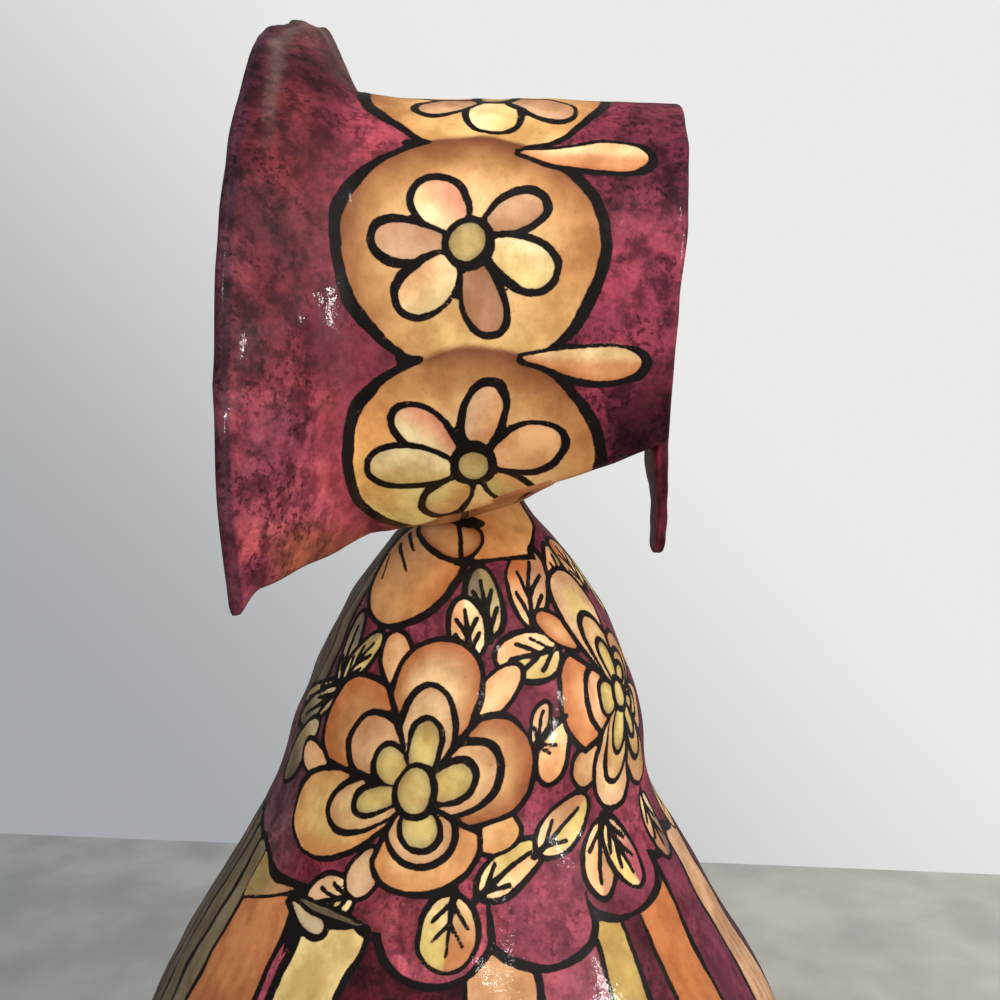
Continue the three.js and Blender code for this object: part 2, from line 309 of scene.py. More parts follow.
def leaf(patch, length, half_width, skew, left, right, veins):
    """A two-coloured leaf with a middle vein and side veins, rooted at the patch's origin."""
    x, y = patch.x, patch.y
    shape = egg(x, y, -0.5, length, half_width, skew)
    halves = tinge(right, left, smooth(-0.7, 0.7, y))
    pale = 0.55 * smooth(0.75, 0.1, x / length)
    patch.lay(shape, tinge(wash(shape, halves * 0.9, halves, 3), CREAM, pale), LEAF_LINE)
    if veins:
        patch.stroke((-2, 0), (0.8 * length, 0), 2.9, 1.5)
    for vein in range(veins):
        start = (0.1 + 0.5 * vein / veins) * length
        reach = half_width * (0.62 - 0.1 * vein)
        for side in (1, -1):
            patch.stroke((start, 0), (start + 0.3 * length, side * reach), 1.9, 1.7)


def petal(patch, root, tip, half_width, rim, middle, line, skew, depth, wedge=None):
    """A petal that is darker towards its tip, cut to a wedge of two headings if given."""
    distance = egg(patch.x, patch.y, root, tip, half_width, skew)
    if wedge:
        before, after = (patch.turned(heading) for heading in wedge)
        distance = np.maximum(distance, np.maximum(-before.y, after.y))
    paint = tinge(middle, rim, 0.6 * smooth(0.6, 1.0, patch.x / tip))
    patch.lay(distance, wash(distance, rim, paint, depth), line)


def daisy(patch, petals, radius, disc):
    """Petals given as (heading, tip share, half width, colour on the left, on the right)."""
    for heading, tip, half_width, left, right in petals:
        turned = patch.turned(heading)
        distance = egg(turned.x, turned.y, disc * 0.7, radius * tip, half_width, 0.17)
        paint = tinge(right, left, smooth(-0.7, 0.7, turned.y / half_width))
        turned.lay(distance, wash(distance, paint * (0.88, 0.92, 0.94), paint, 4), 2.6)
    ring = oval(patch.x, patch.y, disc * 0.97, disc * 1.14)
    patch.lay(ring, wash(ring, OLIVE_DULL * 0.85, OLIVE * (0.9, 0.86, 1), 5), 3.7)


def rosette(patch, drops, petals, disc):
    """Drops peep out between big petals, each with two smaller petals drawn inside it."""
    for heading, root, tip, half_width, paint in drops:
        petal(patch.turned(heading), root, tip, half_width, paint * 0.85, mix(paint, CREAM, 0.3),
              1.9, 0.15, 6)
    around = sorted(heading for heading, *_ in petals)
    for heading, tip, half_width, inner, core, rim, fill in petals:
        at = around.index(heading)
        before = -((heading - around[at - 1]) % 360) / 2
        after = (around[(at + 1) % len(around)] - heading) % 360 / 2
        turned = patch.turned(heading)
        petal(turned, -2, tip, half_width, rim * 0.92, fill, 2.3, 0.25, 15, (before, after))
        within = mix(DUSTY, fill, 0.55)
        slim = mix(0.5, 1, smooth(0.25, 0.75, turned.x / (tip * inner)))
        petal(turned, -1, tip * inner, half_width * 0.64, mix(DUSTY_BROWN, within, 0.4),
              mix(within, CREAM, 0.12), 2.6 * slim, 0.12, 7, (before + 1.2, after - 1.2))
        slim = mix(0.6, 1, smooth(0.3, 0.8, turned.x / (tip * core)))
        petal(turned, 4, tip * core, half_width * 0.36, OLIVE_DULL, YELLOW, 2.5 * slim, 0.15, 4)
    ring = oval(patch.x, patch.y, *disc)
    patch.lay(ring, wash(ring, OLIVE_DULL, mix(OLIVE, CREAM, 0.2), 5), 2.8)


def tongue(patch, length, half_width):
    """A long pointed drop with a pale streak, heavier along its lower side."""
    distance = egg(patch.x, patch.y, -4, length, half_width, 0.5)
    streak = 0.75 * smooth(-0.2 * half_width, 0.6 * half_width, patch.y)
    paint = tinge(wash(distance, ORANGE, mix(ORANGE, PEACH, 0.5), 4), CREAM, streak)
    heavy = 0.85 + 0.35 * smooth(2, -3, patch.y) + 0.8 * smooth(0.78, 1, patch.x / length)
    patch.lay(distance, paint, 0.001)
    patch.draw(np.abs(distance) - heavy)


# ---------- Meshes ----------
def make_object(name, points, faces, attributes, material):
    mesh = bpy.data.meshes.new(name)
    mesh.from_pydata((points * MM).tolist(), [], faces)
    mesh.polygons.foreach_set("use_smooth", np.ones(len(mesh.polygons), bool))
    for key, values in attributes.items():
        if values.ndim == 2:
            data = mesh.attributes.new(key, "FLOAT_COLOR", "POINT").data
            rgba = np.concatenate([values, np.ones((len(values), 1))], axis=1)
            data.foreach_set("color", rgba.astype(np.float32).ravel())
        else:
            data = mesh.attributes.new(key, "FLOAT", "POINT").data
            data.foreach_set("value", values.astype(np.float32))
    mesh.materials.append(material)
    mesh.validate()
    mesh.update()
    piece = bpy.data.objects.new(name, mesh)
    bpy.context.scene.collection.objects.link(piece)
    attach(piece, "root")
    return piece


def tube_object(name, rings, attributes, material, foot=None):
    """A tube of closed rings of points. A fan of triangles closes each end."""
    rows, columns = rings.shape[:2]
    count, last = rows * columns, (rows - 1) * columns
    caps = [rings[0].mean(0) if foot is None else foot, rings[-1].mean(0)]
    row, column = np.meshgrid(np.arange(rows - 1), np.arange(columns), indexing="ij")
    a = row * columns + column
    b = row * columns + (column + 1) % columns
    quads = np.stack([a, b, b + columns, a + columns], -1).reshape(-1, 4)
    this = np.arange(columns)
    after = np.roll(this, -1)
    low_fan = np.stack([np.full(columns, count), after, this], 1)
    high_fan = np.stack([np.full(columns, count + 1), last + this, last + after], 1)
    attributes = {key: np.concatenate([values, values[[0, last]]])
                  for key, values in attributes.items()}
    return make_object(name, np.concatenate([rings.reshape(-1, 3), caps]),
                       quads.tolist() + low_fan.tolist() + high_fan.tolist(), attributes,
                       material)


def welded(points, quads, attributes):
    """Joins points that lie in one place, and turns quads with a lost corner into triangles."""
    _, first, index = np.unique(np.round(points, 3), axis=0, return_index=True,
                                return_inverse=True)
    quads = index.reshape(-1)[quads]
    lost = quads == np.roll(quads, -1, axis=1)
    whole = quads[lost.sum(1) == 0]
    single = lost.sum(1) == 1
    thirds = quads[single][~lost[single]].reshape(-1, 3)
    faces = whole.tolist() + thirds.tolist()
    return points[first], faces, {k: v[first] for k, v in attributes.items()}


def sheet_object(name, outer, inner, outer_paint, inner_paint, material):
    """A closed sheet between two grids of points, with half-round edges."""
    rows, columns = outer.shape[:2]
    total = rows * columns
    at = np.arange(total).reshape(rows, columns)
    a, b = at[:-1, :-1].ravel(), at[:-1, 1:].ravel()
    c, d = at[1:, 1:].ravel(), at[1:, :-1].ravel()
    quads = [np.stack([a, b, c, d], 1), np.stack([d, c, b, a], 1) + total]
    path = np.concatenate([at[:-1, 0], at[-1, :-1], at[:0:-1, -1], at[0, :0:-1]])
    away = np.zeros_like(outer)
    away[:, 0] += unit(outer[:, 0] - outer[:, 1])
    away[:, -1] += unit(outer[:, -1] - outer[:, -2])
    away[-1] += unit(outer[-1] - outer[-2])
    away[0] += unit(outer[0] - outer[1])
    away = unit(away).reshape(-1, 3)[path]
    p, q = outer.reshape(-1, 3)[path], inner.reshape(-1, 3)[path]
    half = (p - q) / 2
    levels = [path]
    points = [outer.reshape(-1, 3), inner.reshape(-1, 3)]
    steps = 4
    for step in range(1, steps):
        angle = math.pi * step / steps
        points.append((p + q) / 2 + half * math.cos(angle)
                      + away * np.linalg.norm(half, axis=1, keepdims=True) * math.sin(angle))
        levels.append(2 * total + (step - 1) * len(path) + np.arange(len(path)))
    levels.append(path + total)
    for near, far in zip(levels, levels[1:]):
        quads.append(np.stack([near, np.roll(near, -1), np.roll(far, -1), far], 1))
    attributes = {key: np.concatenate([values, inner_paint[key]] + [values[path]] * (steps - 1))
                  for key, values in outer_paint.items()}
    return make_object(name, *welded(np.concatenate(points), np.concatenate(quads), attributes),
                       material)


# ---------- Body ----------
def body_grid():
    """Rows of points from the base to the neck, with their angle, run and radius."""
    line = spline(BODY_PROFILE, 60)
    lengths = np.concatenate([[0], np.cumsum(np.hypot(*np.diff(line, axis=0).T))])
    run, start = [], 0
    for end, rows in BODY_ROWS:
        end = min(end, lengths[-1])
        run.append(np.linspace(start, end, rows, endpoint=False))
        start = end
    run = np.concatenate([*run, lengths[-1:]])
    foot = np.radians([0, 30, 60])
    height = np.concatenate([BASE_EDGE * (1 - np.cos(foot)),
                             np.interp(run, lengths, line[:, 0])])
    radius = np.concatenate([BASE_RADIUS - BASE_EDGE * (1 - np.sin(foot)),
                             np.interp(run, lengths, line[:, 1])])
    run = np.concatenate([-BASE_EDGE * (1 - foot), run])
    angle = np.arange(BODY_COLUMNS) / BODY_COLUMNS * 2 * math.pi
    angle -= COLUMN_CROWDING * np.sin(angle)
    angle, run = np.meshgrid(angle, run)
    height = np.broadcast_to(height[:, None], run.shape)
    radius = np.broadcast_to(radius[:, None], run.shape)
    outward = np.stack([np.cos(angle), np.sin(angle), np.zeros_like(angle)], -1)
    points = outward * radius[..., None]
    points[..., 1] += NECK_SET_BACK * smooth(160, 260, height)
    points[..., 2] = height
    free = smooth(2, 18, run) * smooth(340, 315, run)
    lumps = layered_waves(points, 21, (0.75, 70), (0.4, 30), (0.16, 12))
    points += outward * (lumps * free)[..., None]
    return points, angle, run, radius


# The two rosettes: side angle and run of the middle, half sizes of the disc, petals (heading,
# tip, half width, shares of the two petals inside, colour of the rim and within) and drops
# (heading, root, tip, half width, colour).
ROSETTE_FRONT = (-12.5, 221.8, (7.4, 9.4), [
    (200, 61, 15.5, 0.62, 0.42, OCHRE, CREAM_YELLOW),
    (143, 51, 18.5, 0.68, 0.42, ORANGE, TAN),
    (-72, 36.5, 19.5, 0.74, 0.59, mix(ORANGE, OCHRE, 0.6), mix(OCHRE, CREAM, 0.35)),
    (85, 54.5, 16.5, 0.69, 0.48, mix(ORANGE, ORANGE_BROWN, 0.4), mix(OCHRE, CREAM, 0.75)),
    (17, 43.5, 18, 0.72, 0.5, ORANGE_BROWN, mix(OCHRE, CREAM, 0.3)),
], [
    (107, 34, 58, 6.6, PEACH), (53, 28, 53.5, 7, PEACH), (175, 36, 58, 7, PEACH),
    (-25, 19, 42.5, 7.6, OCHRE), (-116, 24, 43, 6.4, DUSTY),
])
ROSETTE_BACK = (59.5, 248, (5.4, 6.6), [
    (-32, 27, 10, 0.7, 0.5, DUSTY, OLIVE), (55, 27, 9, 0.7, 0.5, DUSTY_BROWN, OLIVE),
    (-70, 42, 9.5, 0.72, 0.5, DUSTY_BROWN, OLIVE), (96, 55, 12.5, 0.62, 0.4, DUSTY, OLIVE),
    (-110, 45, 12, 0.74, 0.5, DUSTY, CREAM_YELLOW), (178, 33.5, 19, 0.66, 0.44, ORANGE, PEACH),
], [
    (126, 26, 47, 6, ORANGE), (-139, 24, 44, 6.5, TAN), (20, 22, 40, 6, PEACH),
])
# Leaves on the shawl: side angle and run of the root, heading, length, half width, skew, the
# colours on the left and right of the heading and the veins on each side.
LEAVES = [
    (7, 277, 94, 30, 7, 0, OLIVE_GREY, OLIVE_DULL, 2),
    (0.2, 268.4, 97, 25.5, 7.2, -0.1, PEACH, CREAM, 2),
    (25.5, 280, 77, 34, 9, 0.1, ORANGE, DUSTY_BROWN, 2),
    (34.5, 271, 190, 27, 10.2, 0, OLIVE, PEACH, 2),
    (-50.5, 254, 205, 30, 4.6, 0, OLIVE_GREY, OLIVE_DULL, 1),
    (-48, 252, 214, 35, 6, 0, GREY_BROWN, OLIVE_GREY, 1),
    (-49.5, 254, 96, 30, 5.6, 0, OLIVE_GREY, GREY_BROWN, 1),
    (-47.5, 255, 60, 25, 6, 0, OLIVE_DULL, OLIVE, 2),
    (-53, 240, 236, 35, 7, 0, GREY_BROWN, OLIVE_GREY, 0),
    (21.5, 236, 70, 17, 3.6, 0, DUSTY, DUSTY, 1),
    (31.8, 245.4, 245, 25, 6.6, 0.2, PEACH, PEACH, 0),
    (6, 186.5, 35, 27, 7.4, 0.1, OLIVE, PEACH, 1),
    (21, 198.5, 34, 28, 8.4, -0.1, DUSTY_BROWN, OLIVE, 1),
    (0.4, 187, 260, 25, 10.6, 0.12, mix(ORANGE, TAN, 0.5), OLIVE, 2),
    (42.8, 203.7, 248, 27, 8.2, 0.1, DUSTY_BROWN, PEACH, 1),
    (45.2, 203, 283, 27, 7.4, 0.1, BURGUNDY_PINK, CREAM_YELLOW, 2),
    (-24, 184, 198, 22.5, 8.6, 0, OLIVE, DUSTY, 2),
    (50, 288, 80, 26, 7, 0, PEACH, OLIVE_DULL, 2),
    (72, 292, 96, 24, 7, 0, ORANGE, PEACH, 2), (88, 205, 258, 26, 8, 0, PEACH, OLIVE, 2),
    (89, 276, 92, 30, 8.5, 0, OLIVE, PEACH, 2),
    (68, 204, 262, 26, 7.5, 0, GREY_MAUVE, DUSTY_BROWN * 0.8, 2),
]
# Scallops of the shawl's hem: side angle, half width, run of the middle and half height.
BIG_SCALLOP = -3.8
SCALLOPS = [
    (-67, 14, 199, 10), (-47, 17, 195, 12), (-27, 17, 184, 11), (-16, 14, 182, 11),
    (BIG_SCALLOP, 20.5, 173, 15), (19.5, 20.5, 174.5, 13), (44, 20, 181, 12),
    (64, 16, 193, 11), (82, 17, 196, 11),
]
HEM_RISE = 181
# Stripes of the skirt: side angle where each ends, its colour and how mottled it is.
STRIPES = [
    (-85, GREY_BROWN, 0.2), (-79, OLIVE_GREY, 0.1), (-73, GREY_BROWN, 0.2),
    (-66, OLIVE_GREY * 0.8, 0.1), (-59.5, OLIVE_GREY, 0.1),
    (-40, ORANGE * (0.95, 1.08, 1.3), 0.12), (-36.6, BURGUNDY_PINK, 0.5),
    (-22, mix(YELLOW, CREAM, 0.3), 0.0), (2.5, BURGUNDY_DARK * (0.8, 0.25, 0.42), 0.9),
    (17, PEACH * 0.66, 0.0), (30.5, BURGUNDY_PINK * 0.82, 0.6),
    (39.3, YELLOW * (0.72, 0.64, 0.5), 0.0), (45.5, BURGUNDY_DARK, 0.8),
    (57.5, ORANGE * 0.85, 0.1), (70.8, PLUM * 0.95, 0.5), (86, DUSTY * 0.9, 0.05),
    (90.5, BURGUNDY_DARK, 0.8),
]
# Half the angle of the open neckline in front, and the runs between which it closes.
NECKLINE, NECKLINE_LOW, NECKLINE_HIGH = 31, 229, 254


def skirt_stripes(whole, degrees, s, scale):
    """The skirt's stripes, the lines between two of them and the hem at the base."""
    low = -92.0
    leaning = degrees - 3.4 * smooth(148, 172, s) * bell((degrees + 20) / 8)
    streak = 0.5 + 0.5 * np.sin(degrees * 1.7 + 2 * waves(whole.painting.points, 60, 31))
    for high, paint, dye in STRIPES:
        middle, half = (low + high) / 2, (high - low) / 2
        tone = tinge(paint, paint * 0.62, 0.5 * streak * smooth(0, 40, 170 - s))
        whole.lay((np.abs(leaning - middle) - half) * scale, tone, 2.4, dye)
        low = high
    whole.draw(np.abs(degrees + 40) * scale - 1.3)
    whole.draw(np.abs(degrees + 36.4) * scale - 2.0)
    whole.draw(np.abs(degrees + 38.2) * scale - 3 * smooth(154, 172, s))
    # A dull patch between the orange stripe and the shawl's hem.
    dull = np.maximum.reduce([(degrees + 41) * scale, (-60 - degrees) * scale,
                              171 + 0.75 * (degrees + 52) - s])
    whole.lay(dull, tinge(OLIVE_DULL, TAN * 0.8, smooth(-56, -44, degrees)), 1.3, 0.1)
    whole.lay(s - 9, BURGUNDY_DARK * 0.6, 2.4, 0.4)


def shawl_ground(whole, degrees, s, scale):
    """The shawl with its scalloped hem, open in front over a bodice whose pleats are painted
    light and shade.
    """
    hems = {middle: oval((degrees - middle) * scale, np.minimum(s - centre, 0), half, drop)
            for middle, half, centre, drop in SCALLOPS}
    shawl = HEM_RISE + 14 * smooth(40, 66, np.abs(degrees + 8)) - s
    shawl = np.minimum.reduce([shawl, *hems.values()])
    shawl = np.maximum(shawl, 34 * smooth(206, 184, s) - 3 - (degrees + 90) * scale)
    tint = 0.5 + 0.5 * waves(whole.painting.points, 50, 32)
    ground = tinge(BURGUNDY, BURGUNDY_PINK, np.clip(tint, 0, 1)) * (0.62, 0.5, 0.6)
    # Towards the front the ground greys: partly its own colour, partly a painted reflection of
    # the pale room at a grazing view.
    ground = tinge(ground, GREY_MAUVE * 0.7, 0.75 * smooth(-40, -60, degrees))
    rusty = bell((degrees + 12) / 7, (s - 178) / 8)
    whole.lay(shawl, tinge(ground, RED_BROWN, 0.56 * rusty), 3.2, 0.75)
    # A paler band inside the big scallop in front.
    hem = hems[BIG_SCALLOP]
    pale = smooth(-7.5, -5.5, hem) * smooth(0, -1, hem) * smooth(-17, -9, degrees)
    whole.shade(0.6 * pale * smooth(184, 178, s), BURGUNDY_PINK * 1.3)
    width = NECKLINE * smooth(NECKLINE_LOW, NECKLINE_HIGH, s)
    neckline = np.maximum((degrees + 90 - width) * scale * 0.8, NECKLINE_LOW + 1 - s)
    # The bodice's pleats are only painted: lighter and darker bands of one colour, as painted
    # light and shade.
    share = (degrees + 90) / np.maximum(width, 1)
    pleat_light_and_shade = 0.5 + 0.5 * np.cos(share * math.pi * 5)
    whole.lay(neckline, tinge(GREY_BROWN * 0.7, GREY_BROWN * 1.15, pleat_light_and_shade), 1.6, 0.15)
    for seam in (0.24, 0.5, 0.74):
        line = np.abs(share - seam) * width * scale - 0.5
        whole.draw(np.maximum(line, NECKLINE_LOW + 4 - s))


def shawl_flowers(art, scale):
    art.patch(8.4, 176, 90, 30, scale).stroke((-7, 0), (6, 1), 2.6, 1.8)
    for across, up, heading, *form in LEAVES:
        leaf(art.patch(across, up, heading, 60, scale), *form)
    for across, up, disc, petals, drops in (ROSETTE_BACK, ROSETTE_FRONT):
        rosette(art.patch(across, up, 0, 90, scale), drops, petals, disc)
    twig = art.patch(31.8, 245.4, 0, 40, scale)
    for start, end, wide in (((1, 1), (-12.5, -9), 2.6), ((-13, -8.6), (-4.5, -9.4), 1.9),
                             ((-12.6, -9.4), (-8, -12), 1.9)):
        twig.stroke(start, end, wide, wide * 0.85)
    # A pale drop and a brown swoosh along the hem, under the leaf.
    patch = art.patch(-41.5, 176, -17, 40, scale)
    pale = egg(patch.x, patch.y, -1, 22, 4.4, 0.3)
    patch.lay(pale, wash(pale, GREY_MAUVE * 1.3, mix(GREY_MAUVE, CREAM, 0.5), 3), 2.5)
    patch = art.patch(-43, 177.5, -6, 60, scale)
    bend = patch.y - 1.2 * np.sin(patch.x / 38 * math.pi)
    thick = 0.4 + 1.5 * np.sin(np.clip(patch.x / 40, 0, 1) * math.pi)
    swoosh = np.maximum(np.abs(bend) - thick, np.abs(patch.x - 20) - 20)
    patch.lay(swoosh, OLIVE_GREY * 0.62, 1.6)


def collar(art, whole, degrees, s, scale):
    """A lobe on the shoulder, an orange band round the neck and a divided drop."""
    patch = art.patch(-9, 324, 237, 90, scale)
    lobe = egg(patch.x, patch.y + 4, -2, 53.5, 19, 0.08)
    paint = tinge(ORANGE, TAN, smooth(8, -6, patch.y - 0.2 * patch.x))
    paint = tinge(paint, OCHRE, 0.6 * smooth(28, 46, patch.x))
    patch.lay(lobe, wash(lobe, paint * 0.9, mix(paint, OCHRE, 0.3), 9), 2.6)
    for start, end, wide in (((18, -18), (20.5, -8), 2.2), ((24, -18), (28.5, -4), 2.4),
                             ((31, -20), (40, -13), 1.3)):
        patch.stroke(start, end, wide, 1.0)
    band = np.maximum(309 - s, (degrees - mix(38, 68, smooth(311, 328, s))) * scale)
    band = np.maximum(band, (-8 - degrees) * scale)
    whole.lay(band, tinge(OCHRE, ORANGE, 0.5 * smooth(36, 0, np.abs(degrees - 12))), 2.4)
    patch = art.patch(-12, 323, -14, 60, scale)
    drop = egg(patch.x, patch.y + 4.6, -18.5, 12, 8, 0.3)
    patch.lay(drop, wash(drop, ORANGE_BROWN, mix(TAN, OCHRE, 0.4), 6), 2.2)
    patch.stroke((-1.5, 3), (6.3, -11), 2.2, 1.9)
    patch.draw(oval(patch.x - 0.5, patch.y - 5, 9, 3.2))


def paint_body(points, angle, run, radius):
    side = np.degrees(np.arctan2(np.sin(angle), np.abs(np.cos(angle))))
    scale = math.pi / 180 * radius
    art = Painting(points, side * scale, run, BURGUNDY)
    # Across is kept in degrees here, because one degree is worth less towards the neck.
    wander = art.across - (side * scale).ravel()
    scale = scale.ravel()
    art.across = side.ravel() + wander / scale
    whole = art.patch(scale=scale)
    place = art.across, art.up, scale
    skirt_stripes(whole, *place)
    shawl_ground(whole, *place)
    shawl_flowers(art, scale)
    collar(art, whole, *place)
    return art.attributes()


def make_body(material):
    points, angle, run, radius = body_grid()
    body = tube_object("painted_body", points, paint_body(points, angle, run, radius), material,
                       foot=(0, 0, 0))
    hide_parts("body")


# ---------- Head ----------
def head_relief(px, pz, front):
    """How far the brow, cheeks, nose, lips and chin stand out from the egg of the head."""
    def bump(dx, dz, width, height):
        return front * bell((px - dx) / width, (pz - dz) / height)

    relief = 3 * bump(0, -46, 12, 9) + 2 * bump(0, 16, 28, 7)
    for side in (EYE_ACROSS, -EYE_ACROSS):
        relief += 2.2 * bump(side, 3, 7, 4.5) - 3 * bump(side, 5, 10, 7)
    for side in (CHEEK_ACROSS, -CHEEK_ACROSS):
        relief += 1.5 * bump(side, -14, 11, 10)
    relief += 2.4 * (bump(0, -25.5, 9, 3) + bump(0, -31, 7.5, 3)) - 1.2 * bump(0, -28.3, 9, 1.2)
    nose = smooth(10, -14, pz) * smooth(-21, -16, pz)
    return relief + front * 8.5 * nose * bell(px / mix(4.2, 6.5, nose))


def paint_head(points, px, pz, front, hair, strand):
    art = Painting(points, px, pz, SKIN, 0.0)
    px, pz, front = art.across, art.up, front.ravel()
    whole = art.patch()
    blush = sum(bell((px - side) / 11, (pz + 14) / 10) for side in (CHEEK_ACROSS, -CHEEK_ACROSS))
    whole.shade(0.55 * blush * front, colour(206, 100, 84))
    # The raised locks are painted lighter: a painted highlight along them.
    whole.shade(hair.ravel(), tinge(HAIR, HAIR * 2.4, smooth(-0.6, 1, strand.ravel())))
    behind = np.where(front > 0.2, 0, FAR)
    above = behind + np.where(pz > 0, 0, FAR)
    for side in (1, -1):
        beside = px * side - EYE_ACROSS
        brow = np.abs(np.hypot(beside, pz + 12) - 27) - 0.9
        whole.draw(np.maximum(brow, np.abs(beside) - 9.5) + above)
        eye = oval(beside, pz - 3.2, 7.2, 3.4)
        whole.lay(eye + behind, colour(236, 226, 206), 1.3)
        iris = np.hypot(beside, pz - 3.4) - 2.7
        whole.lay(np.maximum(iris, eye + 0.5) + behind, colour(80, 50, 34), 0.8)
        lid = np.abs(np.hypot(beside, pz + 6) - 12.6) - 0.8
        whole.draw(np.maximum(lid, np.abs(beside) - 8) + above)
    upper = oval(np.abs(px) - 3.2, pz + 25.8, 6.4, 2.6)
    lower = oval(px, pz + 30.6, 7.2, 3.1)
    whole.shade((np.minimum(upper, lower) + behind < 0) * 0.85, colour(160, 48, 52))
    parting = np.abs(pz + 28.2 - 0.012 * px**2) - 0.5
    whole.draw(np.maximum(parting, np.abs(px) - 7.5) + behind)
    return art.attributes()


def make_head(material):
    polar = math.pi * (1 - np.arange(1, HEAD_ROWS) / HEAD_ROWS)
    around = np.arange(HEAD_COLUMNS) / HEAD_COLUMNS * 2 * math.pi
    around, polar = np.meshgrid(around, polar)
    way = np.stack([np.sin(polar) * np.cos(around), np.sin(polar) * np.sin(around),
                    np.cos(polar)], -1)
    y, z = way[..., 1], way[..., 2]
    points = way * HEAD_HALF
    points[..., 0] *= 1 - JAW_TAPER * smooth(0.1, 1, -z)
    front = smooth(0, 0.5, -y)
    px, pz = points[..., 0].copy(), points[..., 2].copy()
    points[..., 1] -= head_relief(px, pz, front)
    face = np.hypot(px / FACE_HALF_WIDTH, (pz + FACE_DROP) / (FACE_TOP + FACE_DROP))
    bare = smooth(0.1, 0.3, -y) * (1 - smooth(0.94, 1.06, face)) + smooth(0.35, 0.6, -z)
    hair = 1 - np.clip(bare, 0, 1)
    strand = 0.5 * np.sin(around * 58 + 3 * waves(points, 40, 41)) + 0.35 * waves(points, 7, 42)
    points += way * ((HAIR_DEPTH + 0.9 * strand) * hair + 0.25 * waves(points, 18, 43))[..., None]
    points += HEAD_CENTRE
    head = tube_object("painted_head", points, paint_head(points, px, pz, front, hair, strand),
                       material)
    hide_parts("body")


# ---------- Bonnet ----------
def arch(shape, foot_height, columns=BONNET_COLUMNS):
    """Even points of an arch from its +X foot over the top to its -X foot, and its length."""
    fall = (shape["centre"] - foot_height) / shape["down"]
    last = math.pi / 2 + math.asin(fall ** (shape["power"] / 2))
    angle = np.linspace(last, -last, 1201)
    s, c = np.sin(angle), np.cos(angle)
    power = 2 / shape["power"]
    x = shape["half_width"] * np.sign(s) * np.abs(s)**power
    rise = np.where(c >= 0, shape["up"], shape["down"])
    z = shape["centre"] + rise * np.sign(c) * np.abs(c)**power
    lengths = np.concatenate([[0], np.cumsum(np.hypot(np.diff(x), np.diff(z)))])
    wanted = np.linspace(0, lengths[-1], columns)
    return np.interp(wanted, lengths, x), np.interp(wanted, lengths, z), lengths[-1]


def edge_height(y):
    along = np.clip((y - BRIM_START_Y) / (BACK_LOW_Y - BRIM_START_Y), 0, 1)
    return mix(EDGE_FRONT, EDGE_BACK, along**EDGE_SAG)


def back_y(height):
    rise = (height - EDGE_BACK) / (CROWN["centre"] + CROWN["up"] - EDGE_BACK)
    rise = np.clip(rise, 0, 1)
    return mix(BACK_LOW_Y, BACK_TOP_Y, rise) - BACK_HOLLOW * np.sin(math.pi * rise)


def sunk(y, height):
    """Heights of the crown with its top line let down towards the back."""
    back = (y - BRIM_START_Y) / (BACK_TOP_Y - BRIM_START_Y)
    sink = mix(*TOP_SINK, back) - BRIM_KINK * np.exp((BRIM_START_Y - y) / BRIM_KINK_LENGTH)
    return height - sink * smooth(CROWN["centre"], CROWN["centre"] + CROWN["up"], height)


def crown_row(along):
    foot = mix(BACK_LOW_Y - BACK_ROUND, BRIM_START_Y, along)
    x, z, length = arch(CROWN, edge_height(foot))
    y = mix(back_y(z) - BACK_ROUND, BRIM_START_Y, along)
    return np.stack([x, y, sunk(y, z)], 1), length


def brim_rows():
    share = np.abs(2 * np.arange(BONNET_COLUMNS) / (BONNET_COLUMNS - 1) - 1)
    topness = 1 - smooth(0.1, 0.6, share)
    start_x, start_z, _ = arch(CROWN, edge_height(BRIM_START_Y))
    start_z = sunk(BRIM_START_Y, start_z)
    end_x, end_z, _ = arch(RIM, RIM_TIP)
    end_z = end_z + PEAK_RISE * np.exp(-np.hypot(end_x, PEAK_SOFTEN) / PEAK_WIDTH)
    peak = bell(end_x / PEAK_BACK_WIDTH) * (end_z > RIM["centre"])
    rows = []
    for t in np.linspace(0, 1, BRIM_ROWS + 1):
        # The rows stand closer where the brim leaves the crown and at its rim.
        along = t - 0.09 * math.sin(2 * math.pi * t)
        steep = 0.9 * smooth(0.04, 0.65, along) + 0.1 * along
        straight = mix(along, smooth(0, 1, along), 0.35)
        opening = mix(straight, steep, topness)
        y = mix(BRIM_START_Y, RIM_Y + SHEET / 2, along) + PEAK_BACK * peak * along**2
        hollow = FOOT_HOLLOW * smooth(0.25, 0.75, along) * smooth(1, 0.86, along)
        z = mix(start_z, end_z, opening) + hollow * smooth(0.8, 1, share)
        rows.append(np.stack([mix(start_x, end_x, opening), y, z], 1))
    return rows


